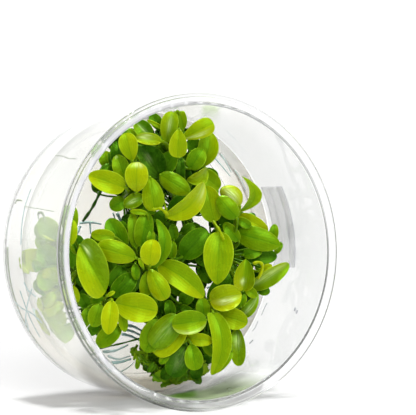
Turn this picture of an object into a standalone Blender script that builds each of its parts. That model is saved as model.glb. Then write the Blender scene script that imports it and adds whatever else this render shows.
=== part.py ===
"""Anubias plantlets in a clear in-vitro cup that lies on its side, in metres, +Z up.

The cup rests on the back edge of its rim and on the edge of its base, with its mouth
towards -Y, and the origin is on that surface under the middle of the cup. Everything in the
cup is laid out in the cup's own frame, in millimetres: x to the right, y up, and z, the
height, along the cup's axis from the base to the mouth. One empty turns that frame onto the
surface. Leaves are laid out by the pixels where their two ends show in the photograph
(416 x 415) and by the height of their middle; the sight lines of the pixels do the rest.
"""

from collections import namedtuple
import math

import bmesh
import bpy
from mathutils import Matrix, Vector
import numpy as np

OBJECT_NAME = "anubias_in_vitro_cup"
MM = 0.001
GAP = 0.3

# The cup, in millimetres
STEPS = 36
CUP_HEIGHT = 50.0
RIM_RADIUS = 50.0
RIM_BACK = 48.2
RIM_STEP = 0.4
COLLAR_RADIUS = 48.9
MOUTH_RADIUS = 46.4
BASE_RADIUS = 46.6
BASE_EDGE = 1.0
FOOT_RADIUS = 41.0
FOOT_DEPTH = 0.5
FLOOR = 1.7
WALL = 1.0

# The nutrient gel and the label
GEL_TOP = 11.5
MENISCUS_TOP = 14.5
LABEL_LOW = 15.3
LABEL_HIGH = 29.8
LABEL_ANGLES = (-9.0, 26.0)
LABEL_THICKNESS = 0.3

# Leaves and stems
BLADE_THICKNESS = 0.45
BLADE_ENDS = 0.9
OUTLINE = (0.45, 0.55)
WALL_CLEARANCE = 1.0
STALK_RADIUS = 0.5
STALK_STOP = 0.7
YOUNG_OVERLAP = 1.5
RHIZOME_RADIUS = 1.4
ROOT_DEPTH = 5.5

# The camera that took the photograph, seen from the origin
VIEW_AZIMUTH = math.radians(-29.243)
VIEW_ELEVATION = math.radians(4.155)
VIEW_DISTANCE = 740.0
VIEW_FOCAL_PX = 2288.8
VIEW_TARGET = (12.5, -5.7, 62.5)
PHOTO_CENTRE = (208.0, 207.5)

# The circles of the many-sided cup touch the true circles from outside
ROUND = 1 / math.cos(math.pi / STEPS)
TILT = math.atan2(RIM_RADIUS - BASE_RADIUS, RIM_BACK - BASE_EDGE)
AXIS = np.array([0.0, -math.cos(TILT), math.sin(TILT)])
UP = np.array([0.0, math.sin(TILT), math.cos(TILT)])
SIDE = np.array([1.0, 0.0, 0.0])
BASE_Z = BASE_RADIUS * math.cos(TILT) - BASE_EDGE * math.sin(TILT)
BASE_Y = (
    CUP_HEIGHT * math.cos(TILT)
    + (COLLAR_RADIUS - BASE_RADIUS + BASE_EDGE) * math.sin(TILT)
) / 2
BASE_POINT = np.array([0.0, BASE_Y, BASE_Z])
CUP_FRAME = np.array([SIDE, UP, AXIS])

Leaf = namedtuple(
    "Leaf", "plant base_px tip_px height lean width roll bend trough bow", defaults=[0.0]
)
Plant = namedtuple("Plant", "foot head")

# Where each plantlet stands on the gel, x and y, and where its rhizome ends, x, y, height
PLANTS = {
    "top": Plant((8, 29), (2, 32, 25)),
    "upper_left": Plant((-7, 17), (-14, 18, 24)),
    "upper_right": Plant((12, 12), (6, 13, 24)),
    "centre": Plant((-4, -4), (-11, -4, 25)),
    "left": Plant((-22, -2), (-29, -2, 22)),
    "lower_left": Plant((-17, -15), (-24, -16, 24)),
    "right": Plant((25, -2), (20, -2, 24)),
    "lower_right": Plant((19, -16), (14, -17, 25)),
    "bottom": Plant((6, -25), (-1, -25, 25)),
}

# plant, base and tip in pixels, height of the middle, lean of the tip towards the viewer,
# width in mm, roll in degrees, then bend, trough and bow as shares of length and width
LEAVES = [
    Leaf("upper_left", (125, 190), (85, 175.5), 36, 1, 7.4, -8, 0.10, 0.14),
    Leaf("upper_left", (132, 160.5), (122, 132.5), 38, 1, 6.4, 10, 0.08, 0.10),
    Leaf("upper_left", (136.5, 192), (137, 162), 41, 3, 7.6, 0, 0.16, 0.10),
    Leaf("upper_left", (148, 178), (152.5, 211), 39, 1, 6.8, 0, 0.08, -0.10),
    Leaf("upper_left", (125, 179.5), (116.5, 155), 32, 0, 5.6, 0, 0.08, 0.10),
    Leaf("upper_left", (113, 169), (114, 139.5), 27, 0, 6.0, 35, 0.10, 0.10),
    Leaf("top", (160, 142), (136, 137), 41, 2, 5.0, -20, 0.12, 0.25),
    Leaf("top", (150, 132), (129, 123), 34, 0, 5.4, 15, 0.12, 0.10),
    Leaf("top", (164, 143), (173, 112.5), 38, 2, 5.8, 0, 0.12, 0.12),
    Leaf("top", (161, 168), (143, 149), 28, -2, 7.5, 0, 0.08, 0.10),
    Leaf("top", (183, 140), (212, 116.5), 40, 1, 7.2, 0, 0.08, -0.08),
    Leaf("top", (179, 131), (177.5, 157), 43, -1, 6.4, 0, 0.10, 0.14),
    Leaf("top", (203, 166), (213, 131), 33, -1, 6.6, 30, 0.14, 0.10),
    Leaf("upper_right", (158.5, 174), (173, 152.5), 33, 0, 6.0, 0, 0.08, 0.10),
    Leaf("upper_right", (160, 174.5), (189.5, 193.5), 38, 1, 6.8, 0, 0.10, -0.10),
    Leaf("upper_right", (167, 216.5), (204, 183), 43, 1, 6.2, 35, 0.12, 0.20, 0.10),
    Leaf("upper_right", (207, 168.5), (187, 180), 39, 2, 6.4, -40, 0.20, 0.20),
    Leaf("right", (213, 221), (205, 190), 37, 0, 7.2, 10, 0.08, 0.14),
    Leaf("right", (237, 218), (218, 197), 42, 0, 6.2, 0, 0.10, -0.10),
    Leaf("right", (239.5, 203), (221, 188), 38, 0, 5.4, -35, 0.20, 0.15),
    Leaf("right", (241, 211), (243, 177), 37, 1, 4.6, 40, 0.15, 0.10, 0.30),
    Leaf("right", (238, 233), (280, 245.5), 40, 1, 7.8, 0, 0.08, -0.10),
    Leaf("right", (223, 231), (215, 283), 42, 1, 9.8, 0, 0.06, 0.12),
    Leaf("right", (243, 290), (246, 260), 41, 1, 7.4, 0, 0.10, 0.30),
    Leaf("right", (253, 288), (289, 264), 38, 1, 6.2, 25, 0.12, 0.12),
    Leaf("right", (246, 254), (277, 258), 34, 0, 5.6, 0, 0.08, 0.10),
    Leaf("lower_right", (210, 303.5), (241, 292), 43, 2, 8.6, -12, 0.14, 0.12),
    Leaf("lower_right", (208, 315), (211, 374.5), 42, 0, 6.8, 10, 0.10, 0.12, -0.22),
    Leaf("lower_right", (216, 316), (248, 325), 37, 0, 6.2, 0, 0.10, 0.10),
    Leaf("centre", (149, 264), (162.5, 242), 44, 2, 6.8, 0, 0.12, 0.16),
    Leaf("centre", (136, 257.5), (98, 242.5), 39, 1, 7.4, 0, 0.12, -0.08),
    Leaf("centre", (159.5, 265), (203, 298), 42, 1, 8.4, 6, 0.10, 0.08),
    Leaf("centre", (150, 270), (163, 299.5), 42, 1, 6.6, 0, 0.12, -0.12),
    Leaf("centre", (183, 256), (205, 231), 36, 0, 8.4, 0, 0.08, 0.10),
    Leaf("centre", (141, 245), (148, 212), 37, 0, 6.0, 0, 0.08, 0.10),
    Leaf("left", (77, 246), (103, 297), 37, 1, 10.2, 8, 0.10, 0.16),
    Leaf("left", (72, 241), (74, 207), 35, 0, 5.0, 30, 0.08, 0.10),
    Leaf("centre", (126, 243), (105, 221), 33, 0, 6.4, 0, 0.08, 0.10),
    Leaf("left", (50, 262), (20, 256), 15, 0, 8.0, 0, 0.05, 0.05),
    Leaf("left", (60, 240), (42, 222), 23, 0, 7.0, 0, 0.05, 0.05),
    Leaf("lower_left", (117, 303.5), (157, 312), 42, 1, 9.0, 0, 0.12, 0.08),
    Leaf("lower_left", (110, 302), (104.5, 334), 43, 1, 5.6, 0, 0.08, 0.14),
    Leaf("centre", (134, 276), (112, 296), 34, 0, 6.2, 0, 0.08, 0.10),
    Leaf("lower_left", (66, 322), (42, 318), 21, 0, 8.0, 0, 0.05, 0.05),
    Leaf("bottom", (204, 321), (173, 324), 44, 1, 7.6, -10, 0.12, 0.12),
    Leaf("bottom", (175, 318), (153, 350), 38, 0, 8.8, 0, 0.12, -0.12),
    Leaf("bottom", (188, 345), (195, 370.5), 42, 1, 5.8, 0, 0.10, 0.12),
]

# Young leaves that are one with the stems
YOUNG_LEAVES = [
    Leaf("top", (163, 130), (150, 113), 33, 0, 4.0, 0, 0.10, 0.10),
    Leaf("top", (186, 168), (206, 153), 28, -1, 5.2, -20, 0.10, 0.12),
    Leaf("upper_left", (141, 195), (127, 208), 35, 0, 5.4, 0, 0.14, -0.15),
    Leaf("upper_left", (125, 200), (111, 210), 31, 0, 4.6, 0, 0.10, 0.10),
    Leaf("centre", (172, 259), (173, 241), 34, 0, 3.0, 0, 0.10, 0.10),
    Leaf("right", (237, 238), (224, 225), 38, 0, 3.6, 0, 0.10, 0.10),
    Leaf("right", (258, 290), (271, 295), 34, 0, 3.2, 0, 0.10, 0.10),
    Leaf("left", (58, 285), (42, 272), 22, 0, 6.0, 0, 0.05, 0.05),
    Leaf("left", (70, 286), (77, 303), 33, 0, 4.0, 0, 0.10, 0.10),
    Leaf("lower_left", (100, 305), (94, 326), 37, 0, 5.0, 0, 0.10, 0.10),
    Leaf("lower_left", (119, 330), (96, 343), 33, 0, 5.6, 0, 0.10, 0.10),
    Leaf("lower_right", (206, 314), (196, 298), 37, 0, 4.4, 0, 0.10, 0.10),
    Leaf("lower_right", (240, 317), (257, 296), 36, 0, 4.6, 40, 0.10, 0.10),
    Leaf("lower_right", (239, 331), (239, 366), 34, 0, 4.6, 0, 0.10, 0.10),
    Leaf("bottom", (184, 349), (173, 374), 35, 0, 7.4, 0, 0.10, 0.10),
    Leaf("bottom", (187, 334), (213, 338), 39, 0, 4.4, 0, 0.10, 0.10),
]

# The ragged tuft at the bottom of the cup: its middle, its half sizes and its bumps
TUFT_MIDDLE = (1.0, -36.5, 21.5)
TUFT_SIZE = (12.0, 6.5, 9.5)
TUFT_BUMP = 0.12


def clear_scene():
    for old in list(bpy.data.objects):
        bpy.data.objects.remove(old, do_unlink=True)


def make_collection(name):
    collection = bpy.data.collections.new(name)
    bpy.context.scene.collection.children.link(collection)
    return collection


def make_material(name, colour, roughness, alpha=1.0, transmission=0.0):
    material = bpy.data.materials.new(name)
    material.use_nodes = True
    shader = material.node_tree.nodes["Principled BSDF"]
    shader.inputs["Base Color"].default_value = (*colour, 1.0)
    shader.inputs["Roughness"].default_value = roughness
    shader.inputs["Metallic"].default_value = 0.0
    shader.inputs["Alpha"].default_value = alpha
    shader.inputs["Transmission Weight"].default_value = transmission
    return material


def make_object(name, points, faces, collection, frame, material=None):
    """An object from points in millimetres in the cup's frame."""
    mesh = bpy.data.meshes.new(name)
    mesh.from_pydata([Vector(point) * MM for point in points], [], faces)
    mesh.update()
    if material:
        mesh.materials.append(material)
    made = bpy.data.objects.new(name, mesh)
    collection.objects.link(made)
    made.parent = frame
    return made


def smooth(made, angle=35):
    made.data.shade_smooth()
    made.data.set_sharp_from_angle(angle=math.radians(angle))


def turn(name, profile, collection, frame, material):
    """A turned piece: the profile (radius, height) goes once round the cup's axis."""
    points = [(radius * ROUND, 0.0, height) for radius, height in profile]
    edges = [(i, i + 1) for i in range(len(points) - 1)]
    mesh = bpy.data.meshes.new(name)
    mesh.from_pydata([Vector(point) * MM for point in points], edges, [])
    mesh.materials.append(material)
    made = bpy.data.objects.new(name, mesh)
    collection.objects.link(made)
    made.parent = frame
    # Half a step of turn puts a flat side of the many-sided wall on the surface
    made.rotation_euler.z = math.pi / STEPS
    screw = made.modifiers.new("turn", "SCREW")
    screw.steps = STEPS
    screw.render_steps = STEPS
    screw.use_merge_vertices = True
    screw.merge_threshold = 0.00001
    screw.use_smooth_shade = True
    return made


def wall_radius(height):
    """Inner radius of the cup's wall at a height: it widens evenly from floor to mouth."""
    low = BASE_RADIUS - WALL
    return low + (MOUTH_RADIUS - low) * np.clip(height, 0, CUP_HEIGHT) / CUP_HEIGHT


def make_cup(collection, frame):
    foot_edge = BASE_RADIUS - BASE_EDGE
    profile = [
        (0.0, FLOOR),
        (foot_edge - 1.8, FLOOR),
        (foot_edge - 0.6, FLOOR + 0.5),
        (wall_radius(FLOOR + 2.0), FLOOR + 2.0),
        (MOUTH_RADIUS, CUP_HEIGHT - 0.2),
        (MOUTH_RADIUS + 0.2, CUP_HEIGHT),
        (COLLAR_RADIUS, CUP_HEIGHT),
        (COLLAR_RADIUS + 0.1, CUP_HEIGHT - RIM_STEP),
        (RIM_RADIUS, CUP_HEIGHT - RIM_STEP),
        (RIM_RADIUS, RIM_BACK),
        (MOUTH_RADIUS + WALL, RIM_BACK),
        (BASE_RADIUS, BASE_EDGE),
        (BASE_RADIUS - 0.3, 0.3),
        (foot_edge, 0.0),
        (FOOT_RADIUS, 0.0),
        (FOOT_RADIUS - FOOT_DEPTH, FOOT_DEPTH),
        (0.0, FOOT_DEPTH),
    ]
    clear = make_material("clear_plastic", (0.95, 0.97, 0.96), 0.05, 0.3, 1.0)
    return turn("cup", profile, collection, frame, clear)


# The gel's surface is flat and then creeps up the wall: radius, height
GEL_SURFACE = [
    (0.0, GEL_TOP),
    (wall_radius(GEL_TOP) - 5.0, GEL_TOP),
    (wall_radius(GEL_TOP) - 2.0, GEL_TOP + 0.7),
    (wall_radius(MENISCUS_TOP) - GAP - 0.4, MENISCUS_TOP),
]


def make_gel(collection, frame, pockets):
    """The gel fills the cup's floor, creeps up its wall and has a pocket for each root."""
    foot_edge = BASE_RADIUS - BASE_EDGE - GAP
    floor = FLOOR + GAP
    profile = GEL_SURFACE + [
        (wall_radius(MENISCUS_TOP) - GAP, MENISCUS_TOP - 0.3),
        (wall_radius(floor + 1.9) - GAP, floor + 1.9),
        (foot_edge - 0.8, floor + 0.6),
        (foot_edge - 1.8, floor),
        (0.0, floor),
    ]
    cream = make_material("nutrient_gel", (0.93, 0.90, 0.80), 0.25, 0.8)
    gel = turn("nutrient_gel", profile, collection, frame, cream)
    cut = gel.modifiers.new("root_pockets", "BOOLEAN")
    cut.operation = "DIFFERENCE"
    cut.object = pockets
    return gel


def make_label(collection, frame):
    """A blank sticker on the outside of the wall, a strip of the wall's own cone."""
    angles = np.radians(np.linspace(*LABEL_ANGLES, 6))
    heights = (LABEL_LOW, LABEL_HIGH)
    points = []
    for height in heights:
        radius = (wall_radius(height) + WALL + GAP + LABEL_THICKNESS) * ROUND + 0.1
        points += [
            (radius * math.cos(a), radius * math.sin(a), height) for a in angles
        ]
    count = len(angles)
    faces = [(i, i + 1, count + i + 1, count + i) for i in range(count - 1)]
    film = make_material("label_film", (0.85, 0.86, 0.87), 0.5, 0.6)
    label = make_object("label", points, faces, collection, frame, film)
    wall = label.modifiers.new("thickness", "SOLIDIFY")
    wall.thickness = LABEL_THICKNESS * MM
    wall.offset = -1.0
    wall.use_even_offset = True
    return label


def camera_axes():
    """The camera's back, right and up directions and its place, in the cup's frame."""
    back = np.array(
        [
            math.sin(VIEW_AZIMUTH) * math.cos(VIEW_ELEVATION),
            -math.cos(VIEW_AZIMUTH) * math.cos(VIEW_ELEVATION),
            math.sin(VIEW_ELEVATION),
        ]
    )
    right = np.array([math.cos(VIEW_AZIMUTH), math.sin(VIEW_AZIMUTH), 0.0])
    up = np.cross(back, right)
    place = np.array(VIEW_TARGET) + back * VIEW_DISTANCE - BASE_POINT
    return [CUP_FRAME @ vector for vector in (back, right, up, place)]


BACK, RIGHT, TOP, CAMERA = camera_axes()


def sight(pixel):
    """The direction in which the camera sees a pixel of the photograph."""
    across = (pixel[0] - PHOTO_CENTRE[0]) / VIEW_FOCAL_PX
    down = (pixel[1] - PHOTO_CENTRE[1]) / VIEW_FOCAL_PX
    return RIGHT * across - TOP * down - BACK


def point_at_height(pixel, height):
    ray = sight(pixel)
    return CAMERA + ray * (height - CAMERA[2]) / ray[2]


def point_at_depth(pixel, reference, nearer):
    """The point seen at a pixel that is nearer to the camera than the reference."""
    ray = sight(pixel)
    depth = (reference - CAMERA) @ BACK + nearer
    return CAMERA + ray * depth / (ray @ BACK)


def leaf_axes(leaf):
    """The blade's base, tip, unit axis, normal and side direction."""
    middle_px = np.add(leaf.base_px, leaf.tip_px) / 2
    middle = point_at_height(middle_px, leaf.height)
    base = point_at_depth(leaf.base_px, middle, -leaf.lean / 2)
    tip = point_at_depth(leaf.tip_px, middle, leaf.lean / 2)
    axis = (tip - base) / np.linalg.norm(tip - base)
    face = BACK - axis * (BACK @ axis)
    face /= np.linalg.norm(face)
    across = np.cross(axis, face)
    roll = math.radians(leaf.roll)
    normal = face * math.cos(roll) + across * math.sin(roll)
    return base, tip, axis, normal, np.cross(axis, normal)


def half_width(along, width):
    """Half the blade's width: an oval, a little fuller towards the base."""
    base_power, tip_power = OUTLINE
    fullest = base_power / (base_power + tip_power)
    top = fullest**base_power * (1 - fullest) ** tip_power
    shape = along**base_power * (1 - along) ** tip_power / top
    return np.maximum(width / 2 * shape, BLADE_ENDS / 2)


def blade_surface(leaf, rows, columns):
    """Points (rows, columns, 3) of a blade: a flat leaf outline whose midrib is bent out of
    the blade and bowed to one side as parabolas, and whose edges rise from the midrib with
    the square of the distance."""
    base, tip, axis, normal, side = leaf_axes(leaf)
    along, across = np.meshgrid(rows, columns, indexing="ij")
    half = half_width(along, leaf.width)
    length = np.linalg.norm(tip - base)
    arch = length * 4 * along * (1 - along)
    rise = leaf.bend * arch + leaf.trough * 2 * half * across**2
    points = (
        base
        + (tip - base) * along[..., None]
        + side * (half * across + leaf.bow * arch)[..., None]
        + normal * rise[..., None]
    )
    return keep_inside(points)


def keep_inside(points):
    """Points past the wall or under the gel's surface are pressed back against it."""
    radius = np.hypot(points[..., 0], points[..., 1])
    limit = wall_radius(points[..., 2]) - WALL_CLEARANCE
    shrink = np.minimum(1, limit / np.maximum(radius, 1e-6))
    surface = np.interp(radius * shrink, *np.transpose(GEL_SURFACE))
    height = np.maximum(points[..., 2], surface + WALL_CLEARANCE)
    return np.stack([points[..., 0] * shrink, points[..., 1] * shrink, height], axis=-1)


def grid_faces(rows, columns):
    return [
        (r * columns + c, r * columns + c + 1, (r + 1) * columns + c + 1, (r + 1) * columns + c)
        for r in range(rows - 1)
        for c in range(columns - 1)
    ]


BLADE_ROWS = np.array([0.0, 0.1, 0.35, 0.65, 0.9, 1.0])
YOUNG_ROWS = np.array([0.0, 0.15, 0.5, 0.85, 1.0])
BLADE_COLUMNS = np.array([-1.0, 0.0, 1.0])


def make_blade(name, leaf, rows, collection, frame, material):
    surface = blade_surface(leaf, rows, BLADE_COLUMNS)
    faces = grid_faces(len(rows), len(BLADE_COLUMNS))
    blade = make_object(name, surface.reshape(-1, 3), faces, collection, frame, material)
    thick = blade.modifiers.new("thickness", "SOLIDIFY")
    thick.thickness = BLADE_THICKNESS * MM
    thick.offset = 0.0
    smooth(blade, 60)
    return blade


def stalk_path(leaf, into_blade):
    """Three points from the rhizome's head to the blade's base, on a cubic curve. The stalk
    leaves along the cup's axis and arrives in line with the midrib, short of it or, on a
    young leaf, inside the blade."""
    base, tip, axis, normal, side = leaf_axes(leaf)
    midrib = axis + 4 * (leaf.bend * normal + leaf.bow * side)
    midrib /= np.linalg.norm(midrib)
    end = keep_inside((base + midrib * into_blade)[None])[0]
    head = np.array(PLANTS[leaf.plant].head, float)
    start = head + (end - head) * np.array([0.04, 0.04, 0.0]) - [0, 0, 1.5]
    span = np.linalg.norm(end - start)
    leaving = start + np.array([0, 0, 0.35 * span]) + (end - start) * 0.1
    arriving = end - midrib * min(0.25 * span, 2.5)
    t = np.array([0.0, 0.55, 1.0])[:, None]
    curve = (
        start * (1 - t) ** 3
        + 3 * leaving * t * (1 - t) ** 2
        + 3 * arriving * t**2 * (1 - t)
        + end * t**3
    )
    return keep_inside(curve)


def tube(path, radii, sides):
    """Points and faces of a closed tube along a path, with flat ends."""
    path = np.asarray(path, float)
    tangents = np.gradient(path, axis=0)
    tangents /= np.linalg.norm(tangents, axis=1)[:, None]
    # Rings are turned to the bend's own plane, so that the tube has no twist
    bend_axis = np.cross(tangents[0], tangents[-1])
    if np.linalg.norm(bend_axis) < 0.1:
        bend_axis = np.eye(3)[np.argmin(np.abs(tangents[0]))]
    first = np.cross(tangents, bend_axis)
    first /= np.linalg.norm(first, axis=1)[:, None]
    second = np.cross(tangents, first)
    turn_angle = 2 * np.pi * np.arange(sides) / sides
    ring = (
        first[:, None] * np.cos(turn_angle)[None, :, None]
        + second[:, None] * np.sin(turn_angle)[None, :, None]
    )
    points = path[:, None] + ring * np.asarray(radii, float)[:, None, None]
    rings = len(path)
    faces = [
        (r * sides + s, r * sides + (s + 1) % sides, (r + 1) * sides + (s + 1) % sides, (r + 1) * sides + s)
        for r in range(rings - 1)
        for s in range(sides)
    ]
    faces.append(tuple(reversed(range(sides))))
    faces.append(tuple((rings - 1) * sides + s for s in range(sides)))
    return points.reshape(-1, 3), faces


def join_pieces(pieces):
    """One list of points and faces from several."""
    points = []
    faces = []
    for piece_points, piece_faces in pieces:
        start = len(points)
        points += [tuple(point) for point in piece_points]
        faces += [tuple(start + i for i in face) for face in piece_faces]
    return points, faces


def rhizome_path(plant):
    foot = np.array([*plant.foot, GEL_TOP + 1.0])
    head = np.array(plant.head, float)
    deep = foot - [0, 0, 1.0 + ROOT_DEPTH]
    low = foot - [0, 0, 0.6]
    return np.array([deep, low, foot + (head - foot) * 0.35, head])


def make_pockets(collection, frame):
    """One cutter for all the root pockets of the gel."""
    pieces = []
    for plant in PLANTS.values():
        deep, low, _, _ = rhizome_path(plant)
        deep = deep - [0, 0, GAP]
        above = low + [0, 0, 4.0]
        radii = [0.6 + GAP + 0.1, RHIZOME_RADIUS + GAP + 0.1, RHIZOME_RADIUS + GAP + 0.1]
        pieces.append(tube([deep, low, above], radii, 8))
    points, faces = join_pieces(pieces)
    pockets = make_object("root_pockets", points, faces, collection, frame)
    pockets.hide_render = True
    pockets.display_type = "WIRE"
    return pockets


def make_stems(name, plant_name, collection, cutters, frame, material):
    """The rhizome of one plantlet with its leaf stalks and young leaves, as one body."""
    radii = [0.6, RHIZOME_RADIUS, RHIZOME_RADIUS, RHIZOME_RADIUS * 0.85]
    points, faces = tube(rhizome_path(PLANTS[plant_name]), radii, 8)
    stems = make_object(name, points, faces, collection, frame, material)
    shoots = bpy.data.collections.new(name + "_shoots")
    cutters.children.link(shoots)
    for number, leaf in enumerate(LEAVES + YOUNG_LEAVES, 1):
        if leaf.plant != plant_name:
            continue
        young = number > len(LEAVES)
        path = stalk_path(leaf, YOUNG_OVERLAP if young else -STALK_STOP)
        radii = np.linspace(STALK_RADIUS * 1.3, STALK_RADIUS * 0.9, len(path))
        points, faces = tube(path, radii, 4)
        make_object(f"stalk_{number:02d}", points, faces, shoots, frame)
        if young:
            make_blade(f"young_{number:02d}", leaf, YOUNG_ROWS, shoots, frame, material)
    for shoot in shoots.objects:
        shoot.hide_render = True
        shoot.display_type = "WIRE"
    union = stems.modifiers.new("shoots", "BOOLEAN")
    union.operation = "UNION"
    union.operand_type = "COLLECTION"
    union.collection = shoots
    smooth(stems, 50)
    return stems


def make_tuft(collection, frame, material):
    """A lumpy clump: a ball stretched to its size, with waves of bumps all over."""
    mesh = bmesh.new()
    bmesh.ops.create_icosphere(mesh, subdivisions=3, radius=1.0)
    for vertex in mesh.verts:
        x, y, z = vertex.co
        bump = 1 + TUFT_BUMP * math.sin(7 * x + 2 * z) * math.cos(6 * y - 3 * x + 5 * z)
        vertex.co = Vector(
            (
                TUFT_MIDDLE[0] + TUFT_SIZE[0] * x * bump,
                TUFT_MIDDLE[1] + TUFT_SIZE[1] * y * bump,
                TUFT_MIDDLE[2] + TUFT_SIZE[2] * z * bump,
            )
        )
        vertex.co = Vector(keep_inside(np.array([vertex.co]))[0]) * MM
    data = bpy.data.meshes.new("moss_tuft")
    mesh.to_mesh(data)
    mesh.free()
    data.materials.append(material)
    tuft = bpy.data.objects.new("bottom_tuft", data)
    collection.objects.link(tuft)
    tuft.parent = frame
    smooth(tuft, 60)
    return tuft


def main():
    clear_scene()
    parts = make_collection(OBJECT_NAME)
    cutters = make_collection("cutters")
    frame = bpy.data.objects.new("cup_axis", None)
    parts.objects.link(frame)
    turned = Matrix(CUP_FRAME).transposed().to_4x4()
    frame.matrix_world = Matrix.Translation(Vector(BASE_POINT) * MM) @ turned
    make_cup(parts, frame)
    make_gel(parts, frame, make_pockets(cutters, frame))
    make_label(parts, frame)
    green = make_material("leaf_green", (0.30, 0.50, 0.02), 0.35)
    stalk_green = make_material("stalk_green", (0.16, 0.34, 0.03), 0.45)
    dark = make_material("tuft_green", (0.10, 0.24, 0.01), 0.6)
    for plant_name in PLANTS:
        make_stems("stems_" + plant_name, plant_name, parts, cutters, frame, stalk_green)
    for number, leaf in enumerate(LEAVES, 1):
        make_blade(f"leaf_{number:02d}", leaf, BLADE_ROWS, parts, frame, green)
    make_tuft(parts, frame, dark)


main()
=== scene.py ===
import bpy
import numpy as np
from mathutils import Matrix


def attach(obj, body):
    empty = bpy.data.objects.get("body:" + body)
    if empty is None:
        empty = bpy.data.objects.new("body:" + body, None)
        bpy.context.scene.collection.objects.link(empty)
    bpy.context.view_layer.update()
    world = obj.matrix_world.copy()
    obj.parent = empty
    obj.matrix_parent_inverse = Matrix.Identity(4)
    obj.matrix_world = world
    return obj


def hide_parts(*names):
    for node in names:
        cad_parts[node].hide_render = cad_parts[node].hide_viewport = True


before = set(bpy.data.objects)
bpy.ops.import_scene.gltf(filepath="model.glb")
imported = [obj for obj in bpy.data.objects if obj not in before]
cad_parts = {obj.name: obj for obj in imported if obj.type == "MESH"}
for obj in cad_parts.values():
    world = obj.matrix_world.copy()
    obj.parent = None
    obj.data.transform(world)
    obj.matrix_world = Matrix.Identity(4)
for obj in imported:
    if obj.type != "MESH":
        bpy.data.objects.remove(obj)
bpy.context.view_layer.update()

print("scene: frame loaded,", len(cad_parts), "nodes")

mm = 0.001  # metres

# The cup, in millimetres: it lies on the back edge of its rim and on the edge of its base
cup = {
    "height": 50.0,
    "rimRadius": 50.0,
    "rimBack": 48.2,
    "rimStep": 0.4,
    "collarRadius": 48.9,
    "mouthRadius": 46.4,
    "baseRadius": 46.6,
    "baseEdge": 1.0,
    "footRadius": 41.0,
    "footDepth": 0.5,
    "floor": 1.7,
    "wall": 1.0,
    "around": 256,
}

# The camera: degrees, then millimetres in the cup's surroundings; focal length in pixels
camera = {
    "azimuth": -29.243,
    "elevation": 4.155,
    "distance": 740.0,
    "target": (12.5, -5.7, 62.5),
    "focal": 2288.8,
    "photo": (416.0, 415.0),
    "sensor": 36.0,
}

# The cup's own frame: x to the right, y up, h along its axis from the base to the mouth
tilt = np.arctan2(cup["rimRadius"] - cup["baseRadius"], cup["rimBack"] - cup["baseEdge"])
cupAxes = np.array([
    [1.0, 0.0, 0.0],
    [0.0, np.sin(tilt), np.cos(tilt)],
    [0.0, -np.cos(tilt), np.sin(tilt)],
])
basePoint = np.array([
    0.0,
    (cup["height"] * np.cos(tilt)
     + (cup["collarRadius"] - cup["baseRadius"] + cup["baseEdge"]) * np.sin(tilt)) / 2,
    cup["baseRadius"] * np.cos(tilt) - cup["baseEdge"] * np.sin(tilt),
])
azimuth, elevation = np.radians([camera["azimuth"], camera["elevation"]])
worldBack = np.array([
    np.sin(azimuth) * np.cos(elevation),
    -np.cos(azimuth) * np.cos(elevation),
    np.sin(elevation),
])
worldRight = np.array([np.cos(azimuth), np.sin(azimuth), 0.0])
worldUp = np.cross(worldBack, worldRight)
cameraPlace = np.array(camera["target"]) + worldBack * camera["distance"]
back, right, upward, eye = (
    cupAxes @ v for v in (worldBack, worldRight, worldUp, cameraPlace - basePoint)
)


# From the cup's frame in millimetres to the surface it lies on, in metres
def toWorld(points):
    return (points @ cupAxes + basePoint) * mm


# The direction in which the camera sees a pixel: right and down from the picture's middle
def sight(pixel):
    across = (pixel[0] - camera["photo"][0] / 2) / camera["focal"]
    down = (pixel[1] - camera["photo"][1] / 2) / camera["focal"]
    return right * across - upward * down - back


# Where the sight line of a pixel meets a height above the cup's base
def atHeight(pixel, height):
    ray = sight(pixel)
    return eye + ray * (height - eye[2]) / ray[2]


# Where the sight line of a pixel is nearer to the camera than a reference point by so much
def atDepth(pixel, reference, nearer):
    ray = sight(pixel)
    depth = (reference - eye) @ back + nearer
    return eye + ray * depth / (ray @ back)


# The vector divided by its length
def unit(vector):
    return vector / np.linalg.norm(vector, axis=-1, keepdims=True)


# Inner radius of the wall: it widens evenly from the base to the mouth
def wallRadius(height):
    low = cup["baseRadius"] - cup["wall"]
    return low + (cup["mouthRadius"] - low) * np.clip(height, 0, cup["height"]) / cup["height"]


# How high the gel stands in the cup
gel = {
    "top": 11.5,
    "creep": 14.5,  # how high it creeps up the wall
    "gap": 0.3,
    "clearance": 1.0,  # kept free between the plants and the wall or gel
}
# The gel's surface from the middle to the wall: radii and heights
gelRadii = np.array([0.0, wallRadius(gel["top"]) - 5.0, wallRadius(gel["top"]) - 2.0,
                     wallRadius(gel["creep"]) - gel["gap"] - 0.4])
gelHeights = np.array([gel["top"], gel["top"], gel["top"] + 0.7, gel["creep"]])


# Points past the wall are moved in to it, and points under the gel's surface up to it
def keepInside(points, clearance=gel["clearance"]):
    radius = np.hypot(points[..., 0], points[..., 1])
    shrink = np.minimum(1, (wallRadius(points[..., 2]) - clearance) / np.maximum(radius, 1e-6))
    surface = np.interp(radius * shrink, gelRadii, gelHeights)
    height = np.maximum(points[..., 2], surface + clearance)
    return np.stack([points[..., 0] * shrink, points[..., 1] * shrink, height], axis=-1)


# Quads of a grid of rows by columns whose last column joins its first
def gridFaces(rows, columns):
    row = np.arange(rows - 1)[:, None]
    column = np.arange(columns)[None, :]
    following = (column + 1) % columns
    corners = (row * columns + column, row * columns + following,
               (row + 1) * columns + following, (row + 1) * columns + column)
    return np.stack(np.broadcast_arrays(*corners), axis=-1).reshape(-1, 4)


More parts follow.
